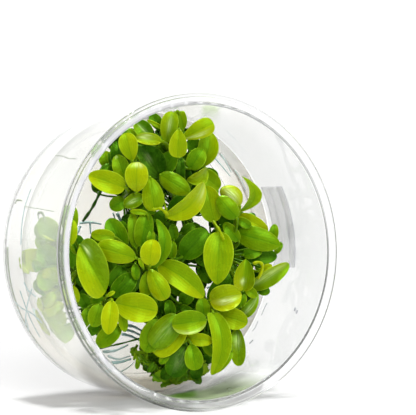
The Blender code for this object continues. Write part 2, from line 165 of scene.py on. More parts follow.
# Quads and the two end faces of a closed tube of rings
def tubeFaces(rings, sides):
    last = (rings - 1) * sides
    caps = [list(range(sides))[::-1], list(range(last, last + sides))]
    return gridFaces(rings, sides).tolist() + caps


# Each face with its corners in the other order
def flipped(faces):
    return [face[::-1] for face in faces]


# A surface: its grid of points in the cup's frame, its faces, its own two coordinates, which
# may be a column and a row that span the grid, and the values that its material reads
def gridSurface(points, faces, u, w, **values):
    uv = np.stack(np.broadcast_arrays(u, w), axis=-1)
    return {"points": points.reshape(-1, 3), "faces": faces, "uv": uv.reshape(-1, 2),
            "values": values}


# One mesh from surfaces, which are joined in their order
def makePiece(name, surfaces, material, replaced=(), body="root"):
    starts = np.cumsum([0] + [len(s["points"]) for s in surfaces])
    points = toWorld(np.concatenate([s["points"] for s in surfaces]))
    faces = [[int(start) + i for i in face]
             for start, s in zip(starts, surfaces) for face in s["faces"]]
    mesh = bpy.data.meshes.new(name)
    mesh.from_pydata(points.tolist(), [], faces)
    corners = np.empty(len(mesh.loops), np.int32)
    mesh.loops.foreach_get("vertex_index", corners)
    uv = np.concatenate([s["uv"] for s in surfaces])
    mesh.uv_layers.new(name="surface").data.foreach_set("uv", uv[corners].ravel())
    for value in surfaces[0]["values"]:
        spread = [np.broadcast_to(s["values"][value], len(s["points"])) for s in surfaces]
        mesh.attributes.new(value, "FLOAT", "POINT").data.foreach_set(
            "value", np.concatenate(spread).astype(np.float32))
    mesh.polygons.foreach_set("use_smooth", np.ones(len(mesh.polygons), bool))
    mesh.materials.append(material)
    mesh.update()
    piece = bpy.data.objects.new(name, mesh)
    bpy.context.scene.collection.objects.link(piece)
    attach(piece, body)
    if replaced:
        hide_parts(*replaced)
    return piece


# One socket in a material's nodes; arithmetic on it adds Math nodes
class Wire:
    def __init__(self, tree, socket=None):
        self.tree = tree
        self.socket = socket

    # Settings are set first, a ramp's stops among them; inputs go by name or number
    def node(self, kind, settings=None, inputs=None, output=0):
        made = self.tree.nodes.new("ShaderNode" + kind)
        for key, value in (settings or {}).items():
            if key == "stops":
                ramp = made.color_ramp
                while len(ramp.elements) < len(value):
                    ramp.elements.new(0.5)
                for element, (place, colour) in zip(ramp.elements, value):
                    element.position = place
                    element.color = (*colour, 1.0)
            else:
                setattr(made, key, value)
        for key, value in (inputs or {}).items():
            if isinstance(value, Wire):
                self.tree.links.new(value.socket, made.inputs[key])
            else:
                made.inputs[key].default_value = value
        return Wire(self.tree, made.outputs[output])

    def math(self, operation, *values):
        return self.node("Math", {"operation": operation}, dict(enumerate(values)))

    def __add__(self, other):
        return self.math("ADD", self, other)

    def __radd__(self, other):
        return self.math("ADD", other, self)

    def __sub__(self, other):
        return self.math("SUBTRACT", self, other)

    def __rsub__(self, other):
        return self.math("SUBTRACT", other, self)

    def __mul__(self, other):
        return self.math("MULTIPLY", self, other)

    def __rmul__(self, other):
        return self.math("MULTIPLY", other, self)

    def __pow__(self, other):
        return self.math("POWER", self, other)

    def __abs__(self):
        return self.math("ABSOLUTE", self)

    # 0 below low and 1 above high, with a smooth step between
    def step(self, low, high):
        return self.node("MapRange", {"interpolation_type": "SMOOTHSTEP"},
                         {0: self, 1: low, 2: high, 3: 0.0, 4: 1.0})

    def noise(self, place, scale, detail=3.0):
        return self.node("TexNoise", None, {"Vector": place, "Scale": scale, "Detail": detail,
                                            "Roughness": 0.55})

    def mix(self, amount, first, second):
        return self.node("Mix", {"data_type": "RGBA"}, {0: amount, 6: first, 7: second}, 2)

    def place(self):
        return self.node("TexCoord", None, None, "Object")

    # Fine streaks: noise with its own scale along each axis, in a metre
    def streaks(self, scales):
        stretched = self.node("VectorMath", {"operation": "MULTIPLY"},
                              {0: self.place(), 1: scales})
        return self.noise(stretched, 1.0)

    def ramp(self, amount, stops):
        return self.node("ValToRGB", {"stops": stops}, {0: amount})

    # The surface's slope where this height, from 0 to 1, stands out by a distance in metres
    def relief(self, strength, distance):
        return self.node("Bump", None, {"Strength": strength, "Distance": distance,
                                        "Height": self})

    def dot(self, vector):
        return self.node("VectorMath", {"operation": "DOT_PRODUCT"},
                         {0: self, 1: tuple(vector)}, "Value")

    # The three parts of a vector
    def parts(self):
        return [self.node("SeparateXYZ", None, {0: self}, output) for output in range(3)]

    def attribute(self, name):
        return self.node("Attribute", {"attribute_name": name}, None, "Fac")

    # The surface's own two coordinates
    def surface(self):
        return self.node("UVMap", {"uv_map": "surface"}).parts()[:2]

    # x, y and h of the cup's frame in millimetres, from the object's own coordinates
    def inCup(self):
        shifted = self.node("VectorMath", {"operation": "SUBTRACT"},
                            {0: self.place(), 1: tuple(basePoint * mm)})
        return [shifted.dot(axis / mm) for axis in cupAxes]


# An empty material and the wire that builds its nodes
def newMaterial(name):
    material = bpy.data.materials.new(name)
    material.use_nodes = True
    material.node_tree.nodes.clear()
    return material, Wire(material.node_tree)


# Joins shaders to the material's output by the names of its sockets
def joinShader(wire, sockets):
    output = wire.tree.nodes.new("ShaderNodeOutputMaterial")
    for key, value in sockets.items():
        wire.tree.links.new(value.socket, output.inputs[key])


# Sets the shader's own sockets by name and joins it to the material's output
def finishMaterial(wire, settings):
    joinShader(wire, {"Surface": wire.node("BsdfPrincipled", None, settings)})


# Leaf tone 0 to 1 runs from dark green to bright yellow-green: it is painted shade for leaves
# deep in the foliage and painted light for leaves in front
leafLook = {
    "colours": [
        (0.00, (0.004, 0.022, 0.0005)),
        (0.25, (0.012, 0.062, 0.0008)),
        (0.50, (0.050, 0.145, 0.0006)),
        (0.75, (0.152, 0.244, 0.0005)),
        (1.00, (0.318, 0.370, 0.0006)),
    ],
    "freckle": 0.08,
    "veins": 4.5,  # on each side of the midrib
    "veinRise": 2.2,
    # the margin's painted highlight, where light catches the edge
    "margin": (0.46, 0.60, 0.03, 1.0),
    # the colour of painted highlights
    "shine": (0.66, 0.78, 0.34, 1.0),
    "roughness": 0.27,
    "reflection": (0.38, 0.95, 0.04, 1.0),
    "inside": (0.5, 1.0, 0.15),  # how far each colour travels under the skin
    "relief": 0.00012,
}


# Veins rise from the midrib to the margin, the margin is painted paler as a highlight where
# light catches it, freckles and fine grain lie over both, and painted highlights are broken up
# lengthwise
def leafMaterial(name, look):
    material, wire = newMaterial(name)
    along, across = wire.surface()
    tone = wire.attribute("tone")
    fromMidrib = abs(across * 2 - 1)
    place = wire.place()
    mottle = wire.noise(place, 260.0)
    grain = wire.noise(place, 2200.0, 2.0)
    bent = (fromMidrib * look["veins"] - along * look["veinRise"]
            + (mottle - 0.5) * 0.8)
    vein = (wire.math("SINE", bent * (2 * np.pi)) * 0.5 + 0.5) ** 3.0
    edge = fromMidrib.step(0.90, 0.99)
    midrib = 1 - fromMidrib.step(0.015, 0.075)
    shade = (tone + (mottle - 0.5) * look["freckle"] * 2 + (grain - 0.5) * 0.03
             + (fromMidrib - 0.4) * 0.09 - vein * 0.04 - midrib * 0.07)
    colour = wire.mix(edge * 0.45 * tone, wire.ramp(shade, look["colours"]), look["margin"])
    length = wire.node("CombineXYZ", None, {0: along * 3, 1: across * 18, 2: tone * 9})
    paintedHighlightAmount = wire.attribute("shine") * (0.3 + wire.noise(length, 1.0).step(0.35, 0.65) * 1.2)
    colour = wire.mix(paintedHighlightAmount, colour, look["shine"])
    skin = vein * 0.6 - midrib * 1.2 + grain * 0.10
    finishMaterial(wire, {
        "Base Color": colour,
        "Roughness": look["roughness"] + (mottle - 0.5) * 0.12,
        "Normal": skin.relief(0.22, look["relief"]),
        "Specular IOR Level": 0.75,
        "Specular Tint": look["reflection"],
        "Subsurface Weight": 0.12,
        "Subsurface Radius": look["inside"],
        "Subsurface Scale": 0.0007,
    })
    return material


glossyLeaf = leafMaterial("glossy_leaf", leafLook)
mossLook = dict(leafLook, roughness=0.5, veins=2.0, freckle=0.25, colours=[
    (0.00, (0.006, 0.030, 0.001)),
    (0.30, (0.050, 0.125, 0.002)),
    (0.60, (0.140, 0.230, 0.003)),
    (1.00, (0.290, 0.380, 0.006)),
])
mossLeaf = leafMaterial("moss_leaf", mossLook)
stalkLook = {
    "streaks": (1800.0, 240.0, 1800.0),  # the stalks run mostly along y
    "roughness": 0.34,
    "reflection": (0.40, 0.95, 0.10, 1.0),
    "relief": 0.0001,
}


# Green skin with fine lengthwise streaks, paler towards the leaf
def stalkMaterial():
    material, wire = newMaterial("stalk_skin")
    along = wire.surface()[0]
    tone = wire.attribute("tone")
    streak = wire.streaks(stalkLook["streaks"])
    shade = tone + (streak - 0.5) * 0.25 + along * 0.10
    finishMaterial(wire, {"Base Color": wire.ramp(shade, leafLook["colours"]),
                          "Normal": streak.relief(0.3, stalkLook["relief"]),
                          "Roughness": stalkLook["roughness"] + streak * 0.12,
                          "Specular Tint": stalkLook["reflection"]})
    return material


stalkSkin = stalkMaterial()
print("scene: leaf and stalk materials made")

# plant: its foot on the gel, x and y, and the end of its rhizome, x, y and height
plants = {
    "top": ((8, 29), (2, 32, 25)),
    "upper_left": ((-7, 17), (-14, 18, 24)),
    "upper_right": ((12, 12), (6, 13, 24)),
    "centre": ((-4, -4), (-11, -4, 25)),
    "left": ((-22, -2), (-29, -2, 22)),
    "lower_left": ((-17, -15), (-24, -16, 24)),
    "right": ((25, -2), (20, -2, 24)),
    "lower_right": ((19, -16), (14, -17, 25)),
    "bottom": ((6, -25), (-1, -25, 25)),
}

# The large leaves: plant, base and tip in the picture, height of the middle, lean of the tip to
# the front, width, roll, bend, trough, tone (painted light and shade), then what else the leaf
# has
bladeFields = ("plant", "base", "tip", "height", "lean", "width", "roll", "bend", "trough",
               "tone")
oval = (0.48, 0.52)
egg = (0.40, 0.54)
spoon = (0.70, 0.42)
blades = {
    "01": ("upper_left", (125, 187.5), (88.5, 175), 36, 1, 7.4, 0, 0.10, 0.14, 0.90,
           {"outline": egg, "halves": -0.08}),
    "02": ("upper_left", (132.5, 161), (125.5, 133), 38, 1, 6.2, 0, 0.08, 0.10, 0.86,
           {"outline": (0.75, 0.46)}),
    "03": ("upper_left", (136.5, 192), (137, 162), 41, 3, 7.6, 0, 0.16, 0.10, 0.94,
           {"outline": spoon, "shine": [(0.94, 0.2, 0.07, 0.7, 0.6)]}),
    "04": ("upper_left", (150, 177), (155, 211), 39, 1, 7.2, 0, 0.08, -0.10, 0.76,
           {"outline": spoon}),
    "05": ("upper_left", (126, 179.5), (116.5, 155), 33, 0, 5.6, 0, 0.08, 0.10, 0.66,
           {"halves": -0.10, "shine": [(0.94, -0.2, 0.05, 0.25, 0.7)]}),
    "06": ("upper_left", (123, 169), (117, 141), 30, 0, 6.6, 0, 0.10, 0.16, 0.22,
           {"halves": -0.10}),
    "07": ("top", (161, 141), (135, 138), 41, 1, 5.0, 0, 0.06, 0.25, 0.90,
           {"curl": (0.9, 0.0), "halves": -0.10, "shine": [(0.62, 0.35, 0.20, 0.35, 0.8)]}),
    "08": ("top", (151, 136), (135, 121.5), 34, 0, 5.6, 0, 0.12, 0.16, 0.54,
           {"halves": -0.16, "shine": [(0.55, 0.0, 0.25, 0.16, 0.5)]}),
    "09": ("top", (166, 143), (172, 111.5), 38, 2, 5.9, 0, 0.12, 0.14, 0.78,
           {"outline": spoon, "halves": -0.08, "shine": [(0.60, 0.0, 0.22, 0.22, 0.35)]}),
    "10": ("top", (160, 177), (141, 147), 31, -1, 10.2, 0, 0.08, 0.14, 0.10,
           {"shine": [(0.65, 0.0, 0.14, 0.12, 0.22)]}),
    "11": ("top", (181, 139), (213.5, 123), 40, 1, 6.2, 0, 0.08, -0.08, 0.86,
           {"outline": (0.90, 0.38), "halves": 0.10, "shine": [(0.45, 0.50, 0.25, 0.16, 0.5)]}),
    "12": ("top", (179, 129), (177.5, 157.5), 43, -1, 6.4, 0, 0.10, 0.18, 0.88,
           {"outline": spoon}),
    "13": ("top", (199, 167), (208, 130), 33, -1, 7.2, 0, 0.14, 0.14, 0.72,
           {"bow": 0.12, "halves": 0.12}),
    "14": ("upper_right", (160, 175), (174, 152), 33, 0, 6.4, 0, 0.08, 0.12, 0.46),
    "15": ("upper_right", (160, 174.5), (189.5, 193), 38, 1, 6.5, 0, 0.10, -0.12, 0.68,
           {"outline": oval, "halves": 0.10}),
    "16": ("upper_right", (166, 217), (204, 182.5), 43, 1, 7.6, 18, 0.08, 0.20, 0.92,
           {"bow": 0.12, "outline": oval, "shine": [(0.86, 0.3, 0.15, 0.5, 0.25)]}),
    "17": ("upper_right", (207, 168.5), (187, 180), 39, 2, 6.4, -40, 0.20, 0.20, 0.84,
           {"curl": (0.6, 0.0)}),
    "18": ("right", (214, 222), (206, 186), 37, 0, 8.0, 0, 0.08, 0.14, 0.80),
    "19": ("right", (237, 218), (218, 197), 42, 0, 6.2, 0, 0.10, -0.10, 0.64),
    "20": ("right", (240, 206), (221, 188), 37, 0, 6.6, 0, 0.10, -0.18, 1.00,
           {"bow": 0.10, "shine": [(0.55, 0.0, 0.30, 0.40, 0.7)]}),
    "21": ("right", (240, 212), (242, 176), 37, 1, 4.8, 20, 0.15, 0.14, 0.76,
           {"bow": 0.36, "outline": (0.55, 0.80)}),
    "22": ("right", (238, 233), (280, 245.5), 40, 1, 7.8, 0, 0.08, -0.10, 0.64,
           {"outline": egg}),
    "23": ("right", (219.5, 231.5), (217, 284.5), 43, 1, 10.0, 0, 0.06, 0.10, 0.80,
           {"outline": (0.48, 0.66)}),
    "24": ("right", (243, 291), (246, 259), 41, 1, 8.4, 0, 0.10, 0.28, 0.82,
           {"outline": (0.42, 0.70), "halves": -0.18, "rise": -0.24,
            "shine": [(0.30, -0.1, 0.09, 0.14, 0.9)]}),
    "25": ("right", (251, 288), (289, 263.5), 38, 1, 5.9, 10, 0.12, 0.14, 0.74,
           {"halves": -0.08, "shine": [(0.55, -0.35, 0.45, 0.35, 0.32)]}),
    "26": ("right", (244, 255), (277, 256.5), 35, 0, 5.8, 0, 0.08, 0.10, 0.28),
    "27": ("lower_right", (210, 300.5), (241.5, 294), 43, 2, 9.6, 0, 0.14, 0.22, 0.98,
           {"outline": (0.44, 0.40), "halves": 0.20, "shine": [(0.54, 0.25, 0.26, 0.15, 1.0)]}),
    "28": ("lower_right", (213, 312.5), (212.5, 375), 42, 0, 6.7, 0, 0.10, 0.12, 0.78,
           {"bow": -0.15, "outline": (0.24, 0.46)}),
    "29": ("lower_right", (219, 314), (247.5, 323), 37, 0, 7.2, 0, 0.10, 0.10, 0.84),
    "30": ("centre", (150, 265.5), (153, 239.5), 44, 1, 6.9, 0, 0.12, 0.14, 0.98,
           {"outline": (0.46, 0.44), "bow": -0.03}),
    "31": ("centre", (136, 258), (97, 246), 39, 1, 7.3, 0, 0.10, -0.10, 0.80,
           {"outline": (0.58, 0.44), "halves": -0.08}),
    "32": ("centre", (159, 264), (204, 297), 42, 1, 8.2, 0, 0.10, 0.12, 0.82,
           {"outline": (0.44, 0.56), "bow": -0.06, "halves": 0.14}),
    "33": ("centre", (149, 269), (166, 299.5), 42, 1, 6.5, 0, 0.12, -0.12, 0.84,
           {"outline": spoon}),
    "34": ("centre", (182, 257), (207, 230), 36, 0, 8.4, 0, 0.08, 0.12, 0.44),
    "35": ("centre", (141, 247), (147, 212), 37, 0, 6.3, 0, 0.08, 0.12, 0.58,
           {"halves": -0.12}),
    "36": ("left", (80, 245), (106, 291), 37, 1, 12.4, 0, 0.08, 0.10, 0.76,
           {"outline": (0.46, 0.42), "fold": 0.30, "shear": 0.65, "halves": 0.18,
            "shine": [(0.20, -0.30, 0.11, 0.10, 0.75)]}),
    "37": ("left", (70, 245), (73, 220), 36, 0, 3.5, 20, 0.08, 0.14, 0.84),
    "38": ("centre", (124, 249), (109, 218.5), 33, 0, 7.0, 0, 0.08, 0.12, 0.52),
    "39": ("left", (50, 262), (20, 258), 15, 0, 7.4, 0, 0.05, 0.05, 1.0),
    "40": ("left", (60, 240), (42, 219), 23, 0, 6.8, 0, 0.05, 0.05, 0.74),
    "41": ("lower_left", (115, 303), (157.5, 311), 42, 1, 9.5, 0, 0.12, 0.10, 0.88,
           {"outline": (0.55, 0.45)}),
    "42": ("lower_left", (112, 300.5), (108, 334.5), 43, 1, 6.0, 0, 0.08, 0.18, 0.98,
           {"outline": (0.58, 0.60)}),
    "43": ("centre", (135, 275), (112, 296), 34, 0, 6.6, 0, 0.08, 0.14, 0.42),
    "44": ("lower_left", (68, 324), (38, 312), 21, 0, 8.8, 0, 0.05, 0.05, 0.86),
    "45": ("bottom", (206.5, 320), (172, 324.5), 44, 1, 8.0, 0, 0.12, 0.12, 0.72,
           {"outline": (0.5, 0.45), "halves": -0.14, "shine": [(0.5, -0.85, 0.45, 0.14, 0.4)]}),
    "46": ("bottom", (179, 316), (152, 346.5), 38, 0, 8.8, 0, 0.08, -0.14, 0.64,
           {"outline": (0.40, 0.36), "shine": [(0.5, 0.0, 0.30, 0.40, 0.13)]}),
    "47": ("bottom", (191, 343.5), (196, 370), 42, 1, 6.2, 0, 0.10, 0.14, 0.64,
           {"outline": spoon}),
}

# The small leaves by plant, in the same way: base, tip, height, width, roll, tone, the rest
smallFields = ("base", "tip", "height", "width", "roll", "tone")
smallLeaves = {
    "top": [
        ((163, 130), (150, 113), 33, 4.0, 0, 0.42),
        ((190, 169), (203, 149), 36, 6.2, 0, 0.60),
        ((204, 152), (187, 141), 31, 5.2, 0, 0.42),
        ((164, 129), (147, 120), 35, 1.5, 0, 0.80),
        ((183, 130), (175, 105), 36, 3.6, 0, 0.72, {"bow": 0.08}),
        ((178, 110), (167, 107.5), 36.5, 1.5, 0, 0.84),
        ((180, 184), (181, 158), 32, 3.2, 0, 0.22),
    ],
    "upper_left": [
        ((143, 196), (124, 206), 35, 5.8, 0, 0.68,
         {"trough": 0.3, "wave": 0.2, "shine": [(0.55, 0.0, 0.20, 0.16, 0.8)]}),
        ((125, 200), (110, 208), 31, 5.0, 0, 0.56),
        ((136, 142), (129, 129), 31, 2.9, 0, 0.66),
        ((118, 173), (101, 167), 27, 3.0, 0, 0.30),
        ((108, 167), (104, 151), 24, 4.8, 0, 0.66),
    ],
    "upper_right": [
        ((198, 172), (220, 188), 34, 6.4, 0, 0.74),
        ((168, 213), (192, 190), 38, 4.6, 0, 0.26),
    ],
    "centre": [
        ((172, 259), (173, 241), 34, 3.0, 0, 0.62),
        ((115, 237), (91, 234), 36, 4.2, 0, 0.80),
        ((136, 248), (132, 213), 35, 4.0, 0, 0.68),
        ((151, 269), (157, 219), 40, 4.4, 0, 0.58, {"bow": 0.22}),
        ((116, 246), (86, 243), 34, 3.0, 0, 0.50),
        ((127, 236), (121, 221), 33, 3.0, 0, 0.42),
        ((150, 247), (152, 230), 39, 2.8, 0, 0.62),
        ((143, 267.5), (139, 258), 42, 1.5, 0, 0.78),
        ((147, 213), (130, 211), 38, 1.9, 0, 0.74),
        ((124, 266), (110, 287), 33, 5.0, 0, 0.38),
        ((174, 240), (173, 224), 33, 3.4, 0, 0.52),
        ((181, 233), (195, 225), 31, 3.6, 0, 0.46),
        ((197, 250), (206, 266), 28, 4.4, 0, 0.34),
        ((199, 267), (211, 283), 27, 4.4, 0, 0.40),
        ((150, 271), (144, 297), 38, 4.8, 0, 0.70),
        ((135, 264), (136.5, 280), 38, 2.9, 0, 0.58),
        ((128, 270), (110, 278), 32, 3.5, 0, 0.38),
        ((181, 304), (193, 289), 30, 4.8, 0, 0.46),
    ],
    "left": [
        ((58, 285), (42, 272), 22, 8.0, 0, 0.78),
        ((60, 268), (42, 246), 21, 7.4, 0, 0.66),
        ((64, 300), (44, 296), 21, 7.0, 0, 0.84),
        ((62, 252), (38, 238), 20, 6.2, 0, 0.76),
        ((62, 287), (35, 284), 19.5, 6.4, 0, 0.56),
        ((70, 286), (77, 303), 33, 4.0, 0, 0.88),
        ((73, 268), (71, 245), 31, 3.0, 0, 0.44),
        ((88, 307), (80, 294), 31, 4.0, 0, 0.44),
        ((72, 232), (74, 206.5), 34, 3.6, 0, 0.64),
    ],
    "lower_left": [
        ((76, 327), (53, 338), 22, 6.4, 0, 0.82),
        ((100, 304), (93, 327), 37, 5.4, 0, 0.68),
        ((120, 325), (97, 346), 33, 6.0, 0, 0.64),
        ((88, 308), (84, 328), 33, 3.6, 0, 0.60),
        ((121, 309), (125, 332), 38, 3.2, 0, 0.74),
        ((49, 306), (58, 329), 20, 4.2, 0, 0.86),
        ((107, 296), (115, 291.5), 39, 1.4, 0, 0.86),
        ((98, 324), (88, 335), 31, 3.6, 0, 0.38),
    ],
    "right": [
        ((239, 241), (224, 223), 38, 4.2, 0, 0.60),
        ((257, 289), (270, 292), 34, 3.4, 0, 0.50),
        ((272, 243), (275, 224), 36, 3.4, 0, 0.62),
        ((251, 227), (238, 219), 38, 3.2, 0, 0.58),
        ((243, 255), (262, 251), 38, 3.8, 0, 0.54),
        ((246, 288), (257, 297), 39, 3.2, 0, 0.72),
        ((272, 273), (257, 279), 36, 2.8, 0, 0.30),
        ((260, 272), (272, 265), 38, 2.8, 0, 1.0),
        ((233, 268), (208, 300), 30, 5.2, 0, 0.36),
        ((282, 243), (275, 254), 37, 2.2, 0, 0.62),
        ((240, 215), (268, 231), 38, 4.6, 0, 0.96),
    ],
    "lower_right": [
        ((204, 317), (202, 298), 37, 4.8, 0, 0.64),
        ((241, 317), (258.5, 293), 36, 4.2, 0, 0.64,
         {"bow": 0.06, "outline": (0.42, 0.80), "shine": [(0.5, 0.0, 0.5, 0.35, 0.32)]}),
        ((236.5, 328), (239, 366), 34, 5.2, 0, 0.70,
         {"outline": (0.50, 0.42), "shine": [(0.32, 0.0, 0.16, 0.4, 0.38)]}),
        ((232, 351), (213, 373), 36, 3.8, 0, 0.74),
        ((241, 307), (245, 294), 38, 2.4, 0, 0.60),
        ((192, 312), (180, 306), 33, 2.6, 0, 0.46),
        ((172, 318), (168, 300), 33, 3.8, 0, 0.44),
    ],
    "bottom": [
        ((187, 346), (171, 376), 35, 8.2, 0, 0.26,
         {"outline": (0.40, 0.40), "shine": [(0.45, 0.0, 0.3, 0.4, 0.12)]}),
        ((186, 338), (213, 341), 40, 4.4, 0, 0.90),
        ((203, 342), (213, 356), 36, 2.8, 0, 0.62),
        ((184, 324), (154, 353.5), 36.5, 9.0, 0, 0.92, {"outline": (0.40, 0.36)}),
        ((187, 340), (176, 344), 39, 1.4, 0, 0.80),
        ((168, 353), (160, 364), 35, 2.8, 0, 0.60),
        ((160, 320), (145, 352), 34, 8.0, 0, 0.62),
        ((199, 363), (194, 379.5), 32, 4.4, 0, 0.14),
        ((172, 366), (162, 379), 31, 4.0, 0, 0.10),
    ],
}

leafShape = {
    "outline": (0.45, 0.50),  # powers of the outline towards base and tip
    "bow": 0.0,  # midrib bowed to one side, as a share of the length
    "bend": 0.10,
    "trough": 0.10,
    "lean": 0.0,
    "fold": 0.0,  # crease along the midrib, in radians
    "curl": (0.0, 0.0),  # turn of the two margins, in radians
    "wave": 0.035,  # ripple of the margins, as a share of the half width
    "thickness": 0.34,
    "groove": 0.12,
    "root": 0.42,  # half width where the stalk joins
    "shear": 0.0,  # how far one half slides towards the tip, as a share of its width
    "halves": 0.06,  # painted light: how much lighter one half of the blade is than the other
    "rise": 0.06,  # painted light: how much lighter the tip is than the base
    "shine": (),  # painted highlights: place along and across, their sizes and the amount
    "rows": 30,
    "loop": 36,
}
smallShape = dict(leafShape, rows=22, loop=28)
ripplePace = {"large": 0.618, "small": 0.377, "moss": 0.453}  # from one leaf to the next


# Base, tip, unit axis, normal and side of a leaf: the face turns to the camera, then rolls
def leafAxes(leaf):
    if "frame" in leaf:
        return leaf["frame"]
    middle = atHeight(np.add(leaf["base"], leaf["tip"]) / 2, leaf["height"])
    base = atDepth(leaf["base"], middle, -leaf["lean"] / 2)
    tip = atDepth(leaf["tip"], middle, leaf["lean"] / 2)
    axis = unit(tip - base)
    face = unit(back - axis * (back @ axis))
    roll = np.radians(leaf["roll"])
    normal = face * np.cos(roll) + np.cross(axis, face) * np.sin(roll)
    return base, tip, axis, normal, np.cross(axis, normal)


# A blade is a closed loop of points in each of its rows. Its half width follows
# u^a (1-u)^b. The section turns by 4 trough v, by the fold at the midrib and by the curl at
# the margins; sideways and upward places are the sums of that turn's cosine and sine. The
# midrib is bent up and bowed sideways as parabolas, and the margins ripple with v cubed. The
# shear slides each point along the blade by a share of its distance from the midrib. This
# middle surface is kept inside the cup, and then it gets its thickness on both sides
def bladeSurface(leaf, seed):
    base, tip, axis, normal, side = leafAxes(leaf)
    rows, loop = leaf["rows"], leaf["loop"]
    u = (1 - np.cos(np.linspace(0.035, np.pi - 0.02, rows))) / 2
    u = ((u - u[0]) / (u[-1] - u[0]))[:, None]
    inner = np.clip(u, 0.0015, 0.9985)
    low, high = leaf["outline"]
    widest = low / (low + high)
    shape = inner**low * (1 - inner) ** high / (widest**low * (1 - widest) ** high)
    half = leaf["width"] / 2 * shape
    half = np.where(u < widest, np.maximum(half, leaf["root"]), half)
    angle = 2 * np.pi * (np.arange(loop) + 0.5) / loop
    v = np.cos(angle)
    fine = np.linspace(-1, 1, 401)
    margin = np.clip((np.abs(fine) - 0.35) / 0.65, 0, 1) ** 1.5
    turn = (4 * leaf["trough"] * fine + leaf["fold"] * np.tanh(fine / 0.08)
            + margin * np.where(fine > 0, leaf["curl"][1], -leaf["curl"][0]))
    stride = fine[1] - fine[0]
    sideways = np.cumsum(np.cos(turn)) * stride
    rising = np.cumsum(np.sin(turn)) * stride
    sideways = np.interp(v, fine, sideways - sideways[200])
    rising = np.interp(v, fine, rising - rising[200])
    turnHere = np.interp(v, fine, turn)
    length = np.linalg.norm(tip - base)
    arch = length * 4 * u * (1 - u)
    ripple = (leaf["wave"] * np.abs(v) ** 3
              * np.sin(2 * np.pi * (u * (2.2 + 1.3 * (seed % 1.0)) + seed + 0.27 * np.sign(v))))
    groove = leaf["groove"] * np.exp(-(v * half / 0.28) ** 2) * (1 - u)
    thick = (leaf["thickness"] / 2 * np.sign(np.sin(angle)) * np.abs(np.sin(angle)) ** 0.7
             * np.minimum(1, 6 * (1 - inner) + 0.15))
    lift = leaf["bend"] * arch + half * (rising + ripple) - groove
    middle = (
        base
        + (tip - base) * u[..., None]
        + axis * (leaf["shear"] * half * sideways)[..., None]
        + side * (half * sideways + leaf["bow"] * arch)[..., None]
        + normal * lift[..., None]
    )
    middle = keepInside(middle, gel["clearance"] + leaf["thickness"] / 2)
    points = (middle - side * (thick * np.sin(turnHere))[..., None]
              + normal * (thick * np.cos(turnHere))[..., None])
    # Painted light and shade: one half of the blade and its tip are painted lighter or darker
    # as light falls on them, and the pale patches are painted highlights
    tone = leaf["tone"] + leaf["halves"] / 2 * np.tanh(v / 0.12) + leaf["rise"] * (u - 0.5)
    paintedHighlightPatches = np.zeros(tone.shape)
    for along, across, far, broad, amount in leaf["shine"]:
        paintedHighlightPatches += amount * np.exp(-((u - along) / far) ** 2 - ((v - across) / broad) ** 2)
    return gridSurface(points, flipped(tubeFaces(rows, loop)), u, (v + 1) / 2,
                       tone=tone.ravel(), shine=paintedHighlightPatches.ravel())


# A tube of rings across a path: each point is the path's, plus the radius times the cosine
# and sine of its angle along two directions that are square to the path and don't twist
def tubeSurface(path, radii, sides, tone):
    tangents = unit(np.gradient(path, axis=0))
    bendAxis = np.cross(tangents[0], tangents[-1])
    if np.linalg.norm(bendAxis) < 0.05:
        bendAxis = np.eye(3)[np.argmin(np.abs(tangents[0]))]
    first = unit(np.cross(tangents, bendAxis))
    second = np.cross(tangents, first)
    angle = 2 * np.pi * np.arange(sides) / sides
    ring = (first[:, None] * np.cos(angle)[None, :, None]
            + second[:, None] * np.sin(angle)[None, :, None])
    points = path[:, None] + ring * np.asarray(radii)[:, None, None]
    return gridSurface(points, tubeFaces(len(path), sides),
                       np.linspace(0, 1, len(path))[:, None], angle / (2 * np.pi), tone=tone)


# A cubic curve from start to end, drawn towards the two places between
def bezier(start, leaving, arriving, end, count):
    t = np.linspace(0, 1, count)[:, None]
    return (start * (1 - t) ** 3 + 3 * leaving * t * (1 - t) ** 2
            + 3 * arriving * t**2 * (1 - t) + end * t**3)


stalk = {
    "radius": 0.5,
    "rings": 16,
    "sides": 10,
    "foot": 1.3,  # radius at the foot, as a share
    "taper": 0.42,
    "swell": 0.175,  # of the knee under the blade
    "knee": 0.93,
    "kneeLength": 0.05,
    "rooted": 1.5,  # how deep the foot sits in the rhizome
    "aside": 0.04,  # the foot's distance from the head, as a share of the way to the leaf
    "rise": 0.35,  # how far it leaves straight up, as a share of its length
    "arrive": (0.25, 2.5),  # how far it arrives straight: a share, and at most
    "young": 0.8,  # thickness for a small leaf, as a share
    "hidden": 0.6,
    "tone": (0.30, 0.35),  # its own, and its share of the leaf's
}


